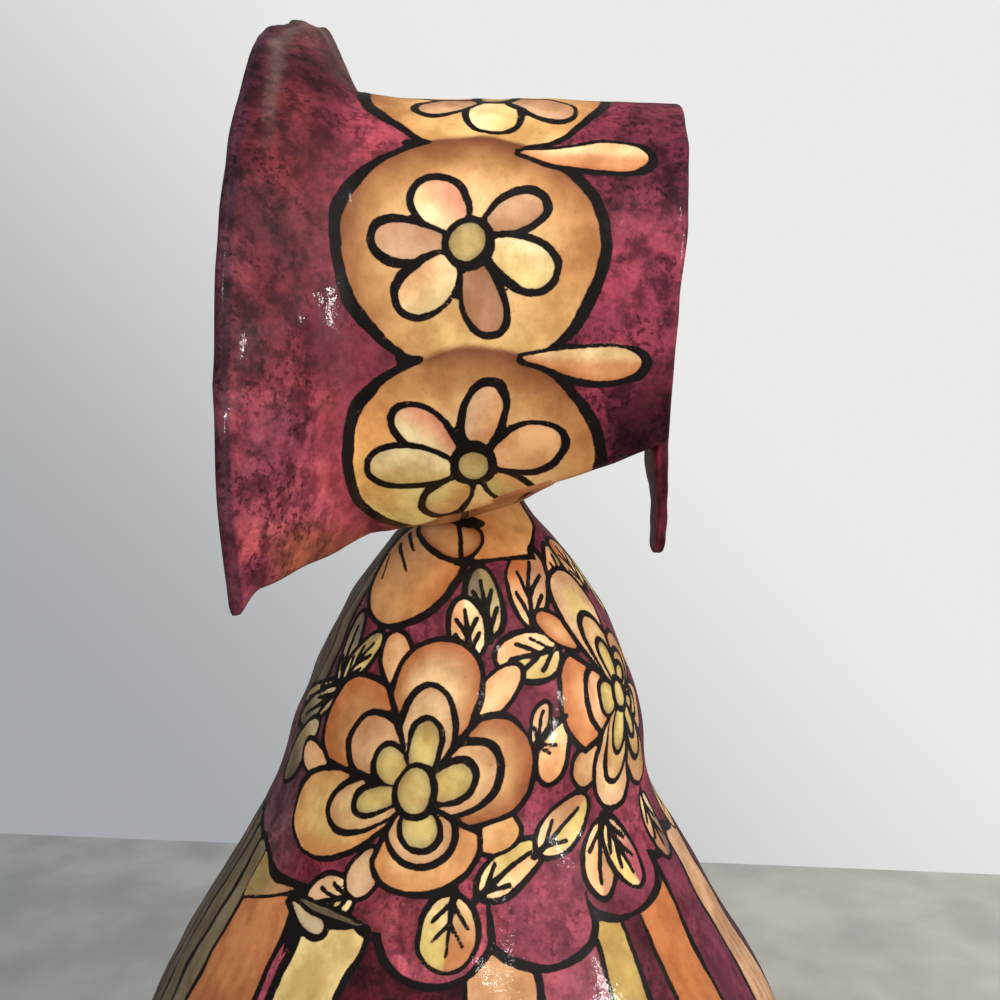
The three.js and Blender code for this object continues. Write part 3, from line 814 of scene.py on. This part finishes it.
def bonnet_rows():
    """Rows from the middle of the back to the rim, and the drawn axes of their points."""
    edge, length = crown_row(0)
    step = np.gradient(edge, axis=0)
    inward = unit(np.stack([-step[:, 2], np.zeros(BONNET_COLUMNS), step[:, 0]], 1))
    back = np.array([0, 1, 0])

    def round_row(angle):
        return edge + BACK_ROUND * (inward * (1 - math.cos(angle)) + back * math.sin(angle))

    outline = round_row(math.pi / 2)
    foot = (outline[0] + outline[-1]) / 2
    rows, runs, lengths = [], [], []
    for reach in np.arange(PANEL_ROWS) / PANEL_ROWS:
        rows.append(mix(foot, outline, reach) + back * BACK_DOME * (1 - reach**2))
        runs.append(np.full(BONNET_COLUMNS, 80 + 60 * (1 - reach)))
        lengths.append(length)
    for row in range(ROUND_ROWS, 0, -1):
        rows.append(round_row(row / ROUND_ROWS * math.pi / 2))
        runs.append(rows[-1][:, 1] + 2)
        lengths.append(length)
    for row in range(CROWN_ROWS):
        points, length = crown_row(row / CROWN_ROWS)
        rows.append(points)
        runs.append(points[:, 1])
        lengths.append(length)
    brim = brim_rows()
    run = np.full(BONNET_COLUMNS, float(BRIM_START_Y))
    for before, points in zip([brim[0], *brim], brim):
        run = run - np.linalg.norm(points - before, axis=1)
        rows.append(points)
        runs.append(run)
        lengths.append(length)
    share = 0.5 - np.arange(BONNET_COLUMNS) / (BONNET_COLUMNS - 1)
    return np.array(rows), share * np.array(lengths)[:, None], np.array(runs)


def sheet_normals(rows):
    normals = unit(np.cross(np.gradient(rows, axis=1), np.gradient(rows, axis=0)))
    normals[0] = (0, 1, 0)
    return normals


ROUNDEL_HALF_UP = 42.7
# Roundels down one side, the upper ones first: distance from the bonnet's top line, Y of the
# middle and half width.
ROUNDELS = [(40, 10.5, 44.5), (117.7, 5.9, 45.4), (194.6, 6.5, 44.7)]
# Where two roundels meet: distance from the top line, and Y.
CUSPS, CUSP_Y = (78.5, 155.8), 6.5
# Tongues behind the cusps: distance from the top line, length and tilt in degrees.
TONGUES = [(82.5, 43, -2), (156, 40, -3)]
# Petals of the daisies: heading, share of the daisy's radius, half width and the colours on
# the left and right of the heading.
DAISY_TOP = [
    (123, 1.1, 8, DUSTY, DUSTY_BROWN), (50, 1.1, 8, DUSTY_BROWN, PEACH),
    (-89, 1.04, 9.3, CREAM_YELLOW, CREAM), (-142, 1.08, 8, DUSTY, DUSTY_BROWN),
    (-37, 1.1, 7.8, DUSTY_BROWN, DUSTY), (172, 0.9, 7.5, PEACH, DUSTY),
]
DAISY_MIDDLE = [
    (34, 0.95, 7.2, DUSTY, DUSTY_BROWN), (123, 0.88, 8.2, CREAM, PEACH_PINK),
    (176, 1.03, 7.4, DUSTY, mix(DUSTY, DUSTY_BROWN, 0.6)),
    (-137, 1.02, 8.2, CREAM, mix(PEACH, CREAM, 0.25)),
    (-78, 0.97, 8.2, DUSTY_BROWN * 0.85, DUSTY_BROWN), (-18, 1.0, 8.4, CREAM, CREAM_YELLOW),
]
DAISY_LOW = [
    (76, 0.98, 7.5, DUSTY, PEACH), (142, 1.06, 8.0, CREAM, PEACH_PINK),
    (-177, 1.18, 9.2, CREAM_YELLOW, CREAM), (-119, 0.95, 7.6, OCHRE, CREAM_YELLOW),
    (-42, 0.85, 7, OCHRE, OLIVE), (18, 1.05, 8.6, PEACH, mix(PEACH, OCHRE, 0.4)),
]


def fan(points, arc, run):
    """Waves across the lines that spread from the rim's peak, and the distance from it."""
    y, a = run - run.min(), np.abs(arc)
    angle = np.arctan2(a, y + 2) + 0.09 * waves(points, 34, 66)
    return 0.6 * np.sin(angle * 23) + 0.4 * np.sin(angle * 37 + 1), np.hypot(y, a)


# Broad tints of the bonnet's ground: where each one fades in along Y and by the distance from
# the top line, as start, end and how far the fade wanders, then its strength and colour.
ANYWHERE = (-9, -8, 0)
GROUND_TINTS = [
    ((30, 75, 10), ANYWHERE, 0.5, PLUM),
    ((-30, -48, 8), ANYWHERE, 0.6, RED_BROWN),
    ((-40, -60, 0), (120, 190, 15), 0.8, BURGUNDY_PINK),
    ((-52, -74, 9), (210, 110, 0), 0.7, MAROON * 0.8),
    ((-84, -100, 7), ANYWHERE, 0.4, MAROON * 0.7),
    ((-36, -50, 0), (90, 20, 0), 0.7, MAROON * 0.7),
]


def bonnet_ground(art, whole, arc, run, crease):
    """Rosier on the brim beside the crown, darker towards the rim, the peak and below."""
    y, a = art.across, -art.up
    drift = waves(art.points, 45, 51)
    to_edge = (np.abs(arc).max(axis=1, keepdims=True) - np.abs(arc)).ravel()
    for forth, down, amount, paint in GROUND_TINTS:
        tint = smooth(forth[0], forth[1], y + forth[2] * drift)
        whole.shade(tint * smooth(down[0], down[1], a + down[2] * drift) * amount, paint)
    # The brim is darker towards its top and lighter low down: partly its own colour, partly
    # painted shade and light.
    brim_tone = tinge(np.array([0.5, 0.38, 0.44]), 1.1, smooth(115, 222, a + 8 * drift))
    rear_tone = tinge(np.array([1.3, 1.1, 1.15]), np.array([0.64, 0.5, 0.6]),
                      smooth(130, 96, a + 6 * drift))
    # lit is a painted patch of light low on the brim near the crown; dim is painted shade further
    # out towards the rim.
    lit = 0.3 * smooth(-62, -50, y) * smooth(-30, -42, y) * smooth(158, 178, a)
    dim = 0.2 * smooth(-50, -64, y) * smooth(150, 175, a) * smooth(225, 205, a)
    art.colour *= brim_tone ** smooth(-30, -46, y)[:, None]
    art.colour *= rear_tone ** smooth(20, 50, y)[:, None]
    art.colour *= ((1 + lit) * (1 - dim))[:, None]
    purple = bell((y + 45) / 10, (a - 148) / 17)
    whole.shade(purple * 0.5, colour(92, 26, 52))

    # Around the peak: lines that spread from it, and bands beside the rim and the top line.
    near_peak = smooth(84, 40, np.hypot(y - run.min(), a))
    whole.shade(near_peak * 0.6, colour(84, 52, 56))
    # Painted highlights on the crests of the radial creases and painted shade in their hollows.
    whole.shade(near_peak * smooth(0.05, 0.8, crease) * 0.7, colour(120, 96, 94))
    whole.shade(near_peak * smooth(-0.05, -0.8, crease) * 0.8, colour(66, 26, 34))
    rim_gap = (run - run[-1]).ravel()
    gap = rim_gap + 1.5 * drift
    under = smooth(4, 18, a) * smooth(104, 60, a + 6 * drift)
    crest = near_peak * smooth(44, 14, a) * smooth(0.7, -0.5, crease)
    # A grey band beside the rim is a painted sheen along a fold, with painted shade in the dark
    # strip outside it.
    band = bell((gap - 8.6) / 2.6) * under
    whole.shade(near_peak * under * 0.35, colour(136, 70, 80))
    whole.shade(crest * 0.7, colour(100, 82, 78))
    whole.shade(bell((gap - 3.4) / 3) * under * 0.7, colour(70, 18, 34))
    whole.shade(band * 0.75, colour(108, 88, 86))

    # Lower edges and the rim.
    low_edge = smooth(24, 4, to_edge + 5 * drift) * smooth(-28, -42, y) * smooth(-100, -84, y)
    whole.shade(low_edge * 0.75, tinge(BROWN, OCHRE_BROWN, 0.5 + 0.4 * drift.clip(-1, 1)))
    # Towards the back the lower edges are painted much darker, as painted shade.
    whole.shade(smooth(34, 14, to_edge) * smooth(44, 58, y) * 0.9,
                BURGUNDY_DARK * (0.4, 0.15, 0.25))
    whole.shade(smooth(60, 20, to_edge) * smooth(50, 80, y) * 0.5,
                BURGUNDY_DARK * (0.6, 0.35, 0.5))
    art.dye = 1 - 0.4 * smooth(-66, -40, y + 6 * drift) * smooth(60, 100, a) * smooth(30, 0, y)
    art.dye *= 1 - np.clip(0.55 * near_peak * smooth(60, 30, a) + 0.6 * band, 0, 0.7)
    whole.shade(smooth(3.6, 1.2, rim_gap) * 0.75, RIM_DARK)


def roundel(art, whole, distance, forth, below, lowest):
    """A roundel shaded most along its top and front. The lowest one has a painted glow of light
    at its foot.
    """
    steep = np.clip(0.55 - 0.6 * below / ROUNDEL_HALF_UP, 0.1, 1)
    fore = smooth(10, -46, forth) * (0.3 if lowest else 1)
    # Each roundel turns paler towards its foot: partly its own paint, partly painted light where
    # the bonnet faces down.
    lower = 0.8 if lowest else 0.55
    pale_paint_and_light = mix(CREAM_YELLOW, OCHRE, 0.55) * (1.12, 1, 1) if lowest else CREAM_YELLOW
    tired = np.clip(steep + 0.4 * fore, 0, 1)
    rim = tinge(mix(ORANGE, OCHRE, 0.3), mix(ORANGE_BROWN, BROWN, 0.72), tired)
    depth = 10 + 13 * np.maximum(steep, fore)
    fill = tinge(OCHRE * 0.85, mix(OCHRE, CREAM, 0.45), smooth(8, 30, -distance))
    fill = tinge(fill, pale_paint_and_light, lower * smooth(8, 38, below))
    fill *= mix(1, 0.84, smooth(-24, -40, below))[:, None]
    rim = tinge(rim, OCHRE, lower * 0.6 * smooth(4, 30, below))
    if lowest:
        side = smooth(-38, 8, forth - 0.9 * (below + 6))
        rim = tinge(mix(ORANGE, OCHRE, 0.5) * 1.25, rim,
                    tired * np.maximum(side, smooth(-18, -34, below)))
        steep = steep * smooth(-34, 6, forth)
    edge = smooth(0, 1, np.maximum(-distance, 0) / depth) ** 0.7
    whole.lay(distance * 0.6, tinge(rim, fill, mix(1 - np.maximum(steep, fore), 1, edge)))
    if lowest:
        # Painted glow: the lowest roundel's foot is brightened as if lit from below.
        painted_glow = 0.7 * smooth(16, -30, forth) * smooth(1, -1, distance) * smooth(-32, 10, below)
        art.colour = np.minimum(art.colour * (1 + painted_glow[:, None] * (1.25, 1.05, 1)), 0.9)


def paint_bonnet(points, arc, run):
    art = Painting(points, run, -np.abs(arc), BURGUNDY)
    y, a = art.across, -art.up
    whole = art.patch()
    bonnet_ground(art, whole, arc, run, fan(points, arc, run)[0].ravel())

    # Each roundel is laid over the one above it, which throws a shadow on it.
    distances = []
    for down, middle, half in ROUNDELS:
        forth, below = y - middle, a - down
        distance = oval(forth, below, half, ROUNDEL_HALF_UP)
        roundel(art, whole, distance, forth, below, down == ROUNDELS[-1][0])
        for above in distances:
            shadow = 0.9 * bell(distance / 3.2) * smooth(1.5, -2, above)
            whole.shade(shadow * smooth(1.2, -1.2, distance), BROWN)
        distances.append(distance)
    chain = np.minimum.reduce(distances)
    to_cusp = np.minimum.reduce([np.abs(a - cusp) for cusp in CUSPS])
    heavy = 1.25 + smooth(2, 18, to_cusp) * mix(0.8, 1.05, smooth(10, -20, y - CUSP_Y))
    whole.draw(np.abs(chain) - heavy)
    for cusp in CUSPS:
        art.patch(CUSP_Y, -cusp, 0, 60).stroke((-24, 0), (-18.5, 0.4), 3.2, 2.2)
    for (down, middle, _), flower, forward in zip(
            ROUNDELS, (DAISY_TOP, DAISY_MIDDLE, DAISY_LOW), (3.5, 0, 0)):
        daisy(art.patch(middle + forward, -down, 0, 60), flower, 32, 7.6)
    for root, length, tilt in TONGUES:
        tongue(art.patch(26, -root, tilt, 70), length, 6.3)
    rows, columns = arc.shape
    row, column = np.meshgrid(np.arange(rows), np.arange(columns), indexing="ij")
    side_gap = np.minimum(column, columns - 1 - column)
    # Pale chips along the rim and the lower edges: partly rubbed wear, partly painted glints.
    art.worn = 0.2 * np.clip(1 - np.minimum(rows - 1 - row, side_gap) / 1.3, 0, 1).ravel()
    return art.attributes()


def paint_lining(points):
    return Painting(points, points[..., 0], points[..., 2], LINING, 0.7).attributes()


def make_bonnet(material):
    outer, arc, run = bonnet_rows()
    lumps = layered_waves(outer, 61, (0.7, 60), (0.35, 26), (0.13, 11))
    # Radial creases run up to the peak, as where wet paper was gathered.
    gather, away = fan(outer, arc, run)
    top = smooth(70, 10, np.abs(arc))
    lumps += 0.9 * gather * smooth(4, 22, away) * smooth(92, 45, away) * top
    lumps += 1.2 * waves(outer, 38, 65) * smooth(-36, -70, outer[..., 1])
    # A run of varnish down the brim on the +X side, and the drop at its end.
    drip_run, drip_end = -52, 147
    thread = bell((run - drip_run) / 1.1)
    drop = bell((run - drip_run) / 1.7, (arc - drip_end) / 2.4)
    lumps += 0.45 * thread * smooth(120, 127, arc) * smooth(150, drip_end, arc) + 0.7 * drop
    outer = outer + sheet_normals(outer) * lumps[..., None]
    inner = outer - sheet_normals(outer) * SHEET
    # The rim stays behind the front plane of the solid.
    passing = np.maximum(RIM_Y - inner[..., 1].min(axis=0), 0)
    outer[..., 1] += passing * smooth(-40, -70, outer[..., 1])
    inner = outer - sheet_normals(outer) * SHEET
    bonnet = sheet_object("painted_bonnet", outer, inner, paint_bonnet(outer, arc, run),
                          paint_lining(inner), material)
    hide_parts("bonnet")


def make_fold(side, material):
    """A part of the sheet folded in under the crown, on the +X side for a side of 1."""
    t = np.linspace(0, 1, FOLD_COLUMNS)
    under = []
    for along in np.linspace(0, 1, FOLD_ROWS):
        y = mix(FOLD_START_Y, FOLD_END_Y, along)
        swell = math.sin(math.pi * along) ** 0.8
        xs, zs, _ = arch(CROWN, edge_height(y), 3)
        reach = 3 + FOLD_REACH * swell
        curl = 0.8 * np.sin(t * math.pi)
        under.append(np.stack([side * (xs[0] - SHEET / 3 - reach * t), np.full(FOLD_COLUMNS, y),
                               zs[0] + 0.3 - FOLD_DROP * swell * t - curl], 1))
    under = np.array(under)
    under[..., 2] += 0.3 * waves(under, 20, 71)
    over = under + np.array([0, 0, FOLD_SHEET])
    art = Painting(under, under[..., 1], np.abs(under[..., 0]), TAN, 0.0)
    whole = art.patch()
    # Darker towards the crown wall: painted shade in the corner under the crown.
    whole.shade(smooth(0, 14, art.up - 32) * 0.4 + 0.2, OCHRE_BROWN)
    whole.stroke((4, 60), (0, 24), 3, 2)
    whole.stroke((26, 58), (18, 30), 2.4, 1.6)
    layers = [(under, art.attributes()), (over, paint_lining(over))]
    if side < 0:
        layers.reverse()
    (outer, outer_paint), (inner, inner_paint) = layers
    name = f"bonnet_fold_{'left' if side > 0 else 'right'}"
    fold = sheet_object(name, outer, inner, outer_paint, inner_paint, material)
    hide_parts("bonnet")


# ---------- Ribbon ----------
def make_ribbon(material):
    top, bottom = RIBBON_HIGH[2], RIBBON_LOW[2]
    front, back = RIBBON_LOW[1], RIBBON_HIGH[1]
    height = mix(bottom, top, np.linspace(0, 1, RIBBON_ROWS))
    foot = (RIBBON_ROUND - (height - bottom)).clip(0) / RIBBON_ROUND
    taper = np.sqrt(np.clip(1 - foot**2, 0.02, 1))
    half = mix(RIBBON_HALF_LOW, RIBBON_HALF_TOP, smooth(*RIBBON_WIDENS, height)) * taper
    corner = np.arange(RIBBON_COLUMNS) / RIBBON_COLUMNS * 2 * math.pi
    squash = 2 / 7
    cx = np.sign(np.cos(corner)) * np.abs(np.cos(corner))**squash
    cy = np.sign(np.sin(corner)) * np.abs(np.sin(corner))**squash
    lobe = smooth(LOBE_LOW, LOBE_LOW + 6, height) * smooth(LOBE_TOP, LOBE_TOP - 5, height)
    front_y = front - LOBE_DEPTH * lobe
    half_thick = (back - front_y) / 2
    points = np.stack([
        half[:, None] * cx,
        (front_y + half_thick)[:, None] + (half_thick * mix(1, taper, 0.4))[:, None] * cy,
        np.broadcast_to(height[:, None], (RIBBON_ROWS, RIBBON_COLUMNS))], -1)
    points[..., 1] += 0.5 * np.sin(points[..., 2] / 9) * smooth(0, 12, top - points[..., 2])
    sway = 0.4 * waves(points, 16, 81), 0.25 * waves(points, 12, 82)
    points[..., 0] += sway[0]
    points[..., 1] += sway[1]
    art = Painting(points, points[..., 0], points[..., 2], BURGUNDY_DARK * (0.9, 0.6, 0.8), 0.6)
    whole = art.patch()
    x, y, z = points.reshape(-1, 3).T
    # The front face is painted brighter: painted light on a face the lamps leave dark.
    facing = smooth(front + 1.6, front + 0.2, y)
    whole.shade(facing * 0.6, BURGUNDY * (0.9, 0.55, 0.75))
    pale = smooth(LOBE_TOP - 1, LOBE_TOP - 5, z) * smooth(LOBE_LOW - 1, LOBE_LOW + 5, z)
    whole.shade(facing * pale * smooth(3, -2, x) * 0.6, OLIVE_GREY)
    ribbon = tube_object("painted_ribbon", points, art.attributes(), material)
    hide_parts("ribbon")


# ---------- Material ----------
class Nodes:
    """Short names for the nodes of a material or a world."""

    def __init__(self, owner):
        owner.use_nodes = True
        self.tree = owner.node_tree
        self.tree.nodes.clear()
        self.place = self.new("ShaderNodeTexCoord")

    def new(self, kind, **settings):
        node = self.tree.nodes.new(kind)
        for key, value in settings.items():
            setattr(node, key, value)
        return node

    def feed(self, node, **values):
        """Sets or links a node's inputs. An input's spaces are written as underlines."""
        for name, value in values.items():
            self.plug(node.inputs[name.replace("_", " ")], value)

    def plug(self, target, value):
        if isinstance(value, bpy.types.NodeSocket):
            self.tree.links.new(value, target)
        else:
            target.default_value = value

    def attribute(self, name, output="Fac"):
        return self.new("ShaderNodeAttribute", attribute_name=name).outputs[output]

    def noise(self, size, detail=2.0, roughness=0.5, shift=0.0, stretch=(1, 1, 1)):
        """Noise of about the given size in millimetres."""
        mapping = self.new("ShaderNodeMapping")
        self.feed(mapping, Vector=self.place.outputs["Object"], Scale=stretch,
                  Location=(shift, shift * 0.7, shift * 1.3))
        node = self.new("ShaderNodeTexNoise")
        self.feed(node, Vector=mapping.outputs["Vector"], Scale=1 / (size * MM), Detail=detail,
                  Roughness=roughness)
        return node.outputs["Fac"]

    def sum(self, operation, *values):
        node = self.new("ShaderNodeMath", operation=operation)
        for target, value in zip(node.inputs, values):
            self.plug(target, value)
        return node.outputs["Value"]

    def ramp(self, value, low, high, to_low=0.0, to_high=1.0):
        node = self.new("ShaderNodeMapRange", interpolation_type="SMOOTHSTEP")
        self.feed(node, Value=value, From_Min=low, From_Max=high, To_Min=to_low, To_Max=to_high)
        return node.outputs["Result"]

    def spots(self, noise, *ramp):
        """Noise, given as for noise, put through a ramp."""
        return self.ramp(self.noise(*noise), *ramp)

    def blend(self, factor, a, b, mode="MIX"):
        node = self.new("ShaderNodeMix", data_type="RGBA", blend_type=mode)
        self.plug(node.inputs[0], factor)
        for socket, value in ((6, a), (7, b)):
            if not isinstance(value, bpy.types.NodeSocket):
                value = (*value, 1)
            self.plug(node.inputs[socket], value)
        return node.outputs[2]

    def times(self, a, b):
        return self.blend(1.0, a, b, "MULTIPLY")

    def stain(self, factor, base, by):
        """The base, multiplied by a colour where the factor is 1."""
        return self.blend(factor, base, self.times(base, by))

    def bump(self, height, distance, strength, normal=None):
        node = self.new("ShaderNodeBump")
        self.feed(node, Height=height, Distance=distance * MM, Strength=strength)
        if normal:
            self.feed(node, Normal=normal)
        return node.outputs["Normal"]

    def surface(self, **values):
        """A principled surface with the given inputs, as the material's output."""
        shader = self.new("ShaderNodeBsdfPrincipled")
        self.feed(shader, **values)
        self.feed(self.new("ShaderNodeOutputMaterial"), Surface=shader.outputs["BSDF"])


def mottled_ground(n, paint):
    """The dyed ground: clouds, blots, brush marks and clustered specks."""
    clouds = n.noise(34, 3, 0.55, 0.1)
    blots = n.noise(9, 6, 0.68, 0.3)
    grain = n.noise(1.5, 3, 0.6, 0.5)
    specks = n.spots((2.4, 3, 0.6, 0.7), 0.52, 0.62)
    clusters = n.spots((17, 4, 0.6, 0.9), 0.44, 0.56)
    rust = n.spots((22, 4, 0.6, 1.7), 0.54, 0.7, 0, 0.6)
    drops = n.spots((4.5, 3, 0.6, 9.7), 0.62, 0.70, 0, 0.65)
    deep = n.blend(n.ramp(blots, 0.38, 0.60), (0.42, 0.28, 0.36), (1.38, 1.34, 1.28))
    ground = n.times(paint, deep)
    ground = n.stain(n.ramp(clouds, 0.44, 0.60, 0, 0.75), ground, (0.54, 0.44, 0.66))
    ground = n.stain(n.ramp(clouds, 0.46, 0.34, 0, 0.6), ground, (1.45, 1.5, 1.42))
    ground = n.stain(rust, ground, (1.25, 0.95, 0.68))
    ground = n.stain(n.sum("MULTIPLY", specks, clusters), ground, (0.36, 0.18, 0.30))
    ground = n.blend(n.ramp(grain, 0.35, 0.7), n.times(ground, (0.84, 0.80, 0.84)),
                     n.times(ground, (1.14, 1.14, 1.12)))
    return n.stain(drops, ground, (0.44, 0.3, 0.36))


def uneven_washes(n, paint):
    """The washes: broad unevenness, faint brush streaks and small stains."""
    uneven = n.spots((14, 4, 0.6, 2.1), 0.32, 0.66)
    streaks = n.spots((5, 3, 0.6, 2.9, (1, 1, 0.35)), 0.52, 0.72, 0, 0.4)
    stains = n.spots((2.2, 2, 0.5, 3.3), 0.66, 0.76, 0, 0.4)
    washes = n.blend(uneven, n.times(paint, (0.76, 0.64, 0.52)),
                     n.times(paint, (1.08, 1.07, 1.06)))
    washes = n.stain(streaks, washes, (0.84, 0.72, 0.60))
    return n.stain(stains, washes, (0.7, 0.55, 0.42))


def varnished_paint(name):
    """Ink and washes over a dyed, mottled ground, all under a brushed-on varnish."""
    material = bpy.data.materials.new(name)
    n = Nodes(material)
    paint = n.attribute("paint", "Color")
    tone = n.blend(n.attribute("dye"), uneven_washes(n, paint), mottled_ground(n, paint))

    # Ink: a wobbling edge with a thin brown bleed, here and there rubbed thin.
    wobble = n.sum("MULTIPLY_ADD", n.noise(2.6, 3, 0.6, 4.1), 0.9, -0.45)
    away = n.sum("ADD", n.attribute("ink"), wobble)
    ink = n.ramp(away, 0.14, -0.16)
    rubbed = n.spots((2.4, 3, 0.65, 4.9), 0.62, 0.75, 1, 0.8)
    tone = n.stain(n.ramp(away, 0.5, 0.0, 0, 0.4), tone, (0.6, 0.46, 0.4))
    tone = n.blend(n.sum("MULTIPLY", ink, rubbed), tone, INK)
    # Pale chips where worn is high: rubbed paint, and on the rim painted glints.
    chips = n.spots((3.0, 3, 0.7, 5.5), 0.46, 0.58, 0, 0.45)
    tone = n.blend(n.sum("MULTIPLY", n.attribute("worn"), chips), tone, colour(156, 104, 96))

    lumps = n.bump(n.noise(11, 3, 0.55, 7.3), 0.8, 0.45)
    strokes = n.bump(n.noise(3.2, 3, 0.6, 7.9), 0.26, 0.5, lumps)
    peel = n.bump(n.noise(0.9, 2, 0.5, 8.3), 0.06, 0.5, strokes)
    n.surface(Base_Color=tone, Roughness=n.spots((6, 4, 0.6, 6.1), 0.3, 0.7, 0.38, 0.56),
              Coat_Weight=0.35, Coat_Roughness=0.08, Specular_IOR_Level=0.3,
              Normal=n.bump(ink, 0.1, 0.3, peel), Coat_Normal=peel)
    return material


# ---------- Scene ----------
FLOOR_FAR_EDGE, FLOOR_SIZE, FLOOR_DEPTH, FLOOR_TURN = -0.348, 3.0, 0.03, 0.1
CAMERA_PLACE = (0.4385, 0.016, 0.333)
CAMERA_TILT, CAMERA_LENS, CAMERA_SENSOR, CAMERA_CLIP = 4.36, 37.8, 36, 0.01
LIGHT_TARGET = (0, 0, 0.30)
# Name, place, size, power, tint and whether the varnish mirrors it.
LIGHTS = [
    ("window", (0.55, 1.35, 1.35), 2.0, 20, (1.0, 0.97, 0.93), False),
    ("ceiling", (0.9, -0.2, 1.7), 2.2, 8, (1.0, 0.98, 0.95), False),
    ("fill", (1.6, -0.1, 0.3), 1.6, 8.5, (1.0, 0.98, 0.95), False),
    ("lamp", (0.9, 0.35, 1.0), 0.07, 1.0, (1.0, 0.98, 0.95), True),
    ("pane", (0.7, 1.2, 0.6), 0.1, 3.2, (1.0, 0.98, 0.95), True),
]
# How bright the room is where the varnish mirrors it, as on the dark side of a real room.
MIRRORED_ROOM = 0.16


def add_object(name, data):
    thing = bpy.data.objects.new(name, data)
    bpy.context.scene.collection.objects.link(thing)
    return thing


def make_floor():
    """A broad pale slab with its far edge behind the figure."""
    mesh = bpy.data.meshes.new("floor")
    corners = []
    for x, y in ((0, -1), (1, -1), (1, 1), (0, 1)):
        across = y * FLOOR_SIZE
        for z in (0, -FLOOR_DEPTH):
            corners.append((FLOOR_FAR_EDGE + x * FLOOR_SIZE + FLOOR_TURN * across, across, z))
    sides = [(a + 1, (a + 3) % 8, (a + 2) % 8, a) for a in (0, 2, 4, 6)]
    mesh.from_pydata(corners, [], [(0, 2, 4, 6), (7, 5, 3, 1), *sides])
    mesh.update()
    material = bpy.data.materials.new("pale_floor")
    n = Nodes(material)
    split = n.new("ShaderNodeSeparateXYZ")
    n.feed(split, Vector=n.place.outputs["Object"])
    stone = n.blend(n.spots((60, 4), 0.3, 0.7), (0.34, 0.35, 0.34), (0.46, 0.46, 0.43))
    # The slab is painted darker and bluer towards -Y: painted shade away from the window.
    shade = n.blend(n.ramp(split.outputs["Y"], -0.5, 0.4), (0.62, 0.66, 0.72), (0.95, 0.94, 0.9))
    n.surface(Base_Color=n.times(stone, shade),
              Roughness=n.spots((25, 3), 0.3, 0.7, 0.55, 0.7))
    mesh.materials.append(material)
    floor = add_object("floor", mesh)
    floor.visible_glossy = False


def make_room():
    """A plain room, brighter upwards and towards +Y, where the window is."""
    world = bpy.data.worlds.new("room")
    n = Nodes(world)
    split = n.new("ShaderNodeSeparateXYZ")
    n.feed(split, Vector=n.place.outputs["Generated"])
    lift = n.sum("MULTIPLY_ADD", split.outputs["Z"], 0.9, split.outputs["Y"])
    tint = n.blend(n.ramp(lift, -0.6, 0.25), (0.38, 0.40, 0.42), (0.83, 0.83, 0.81))
    mirrored = n.new("ShaderNodeLightPath").outputs["Is Glossy Ray"]
    background = n.new("ShaderNodeBackground")
    n.feed(background, Color=tint, Strength=n.ramp(mirrored, 0, 1, 1, MIRRORED_ROOM))
    n.feed(n.new("ShaderNodeOutputWorld"), Surface=background.outputs["Background"])
    bpy.context.scene.world = world


def make_light(name, place, size, power, tint, mirrored):
    light = bpy.data.lights.new(name, "AREA")
    light.shape, light.size, light.energy, light.color = "DISK", size, power, tint
    holder = add_object(name, light)
    holder.location = place
    way = np.array(LIGHT_TARGET) - np.array(place)
    pitch = math.atan2(-way[2], math.hypot(way[0], way[1]))
    holder.rotation_euler = (math.pi / 2 - pitch, 0, math.atan2(way[1], way[0]) - math.pi / 2)
    holder.visible_glossy = mirrored


def make_camera():
    data = bpy.data.cameras.new("camera")
    data.lens, data.sensor_width, data.clip_start = CAMERA_LENS, CAMERA_SENSOR, CAMERA_CLIP
    camera = add_object("camera", data)
    camera.location = CAMERA_PLACE
    camera.rotation_euler = (math.radians(90 - CAMERA_TILT), 0, math.radians(90))
    bpy.context.scene.camera = camera


bpy.context.scene.view_settings.view_transform = "Standard"
paint = varnished_paint("varnished_paint")
make_body(paint)
make_head(paint)
make_bonnet(paint)
make_fold(1, paint)
make_fold(-1, paint)
make_ribbon(paint)
make_floor()
make_room()
for light in LIGHTS:
    make_light(*light)
make_camera()
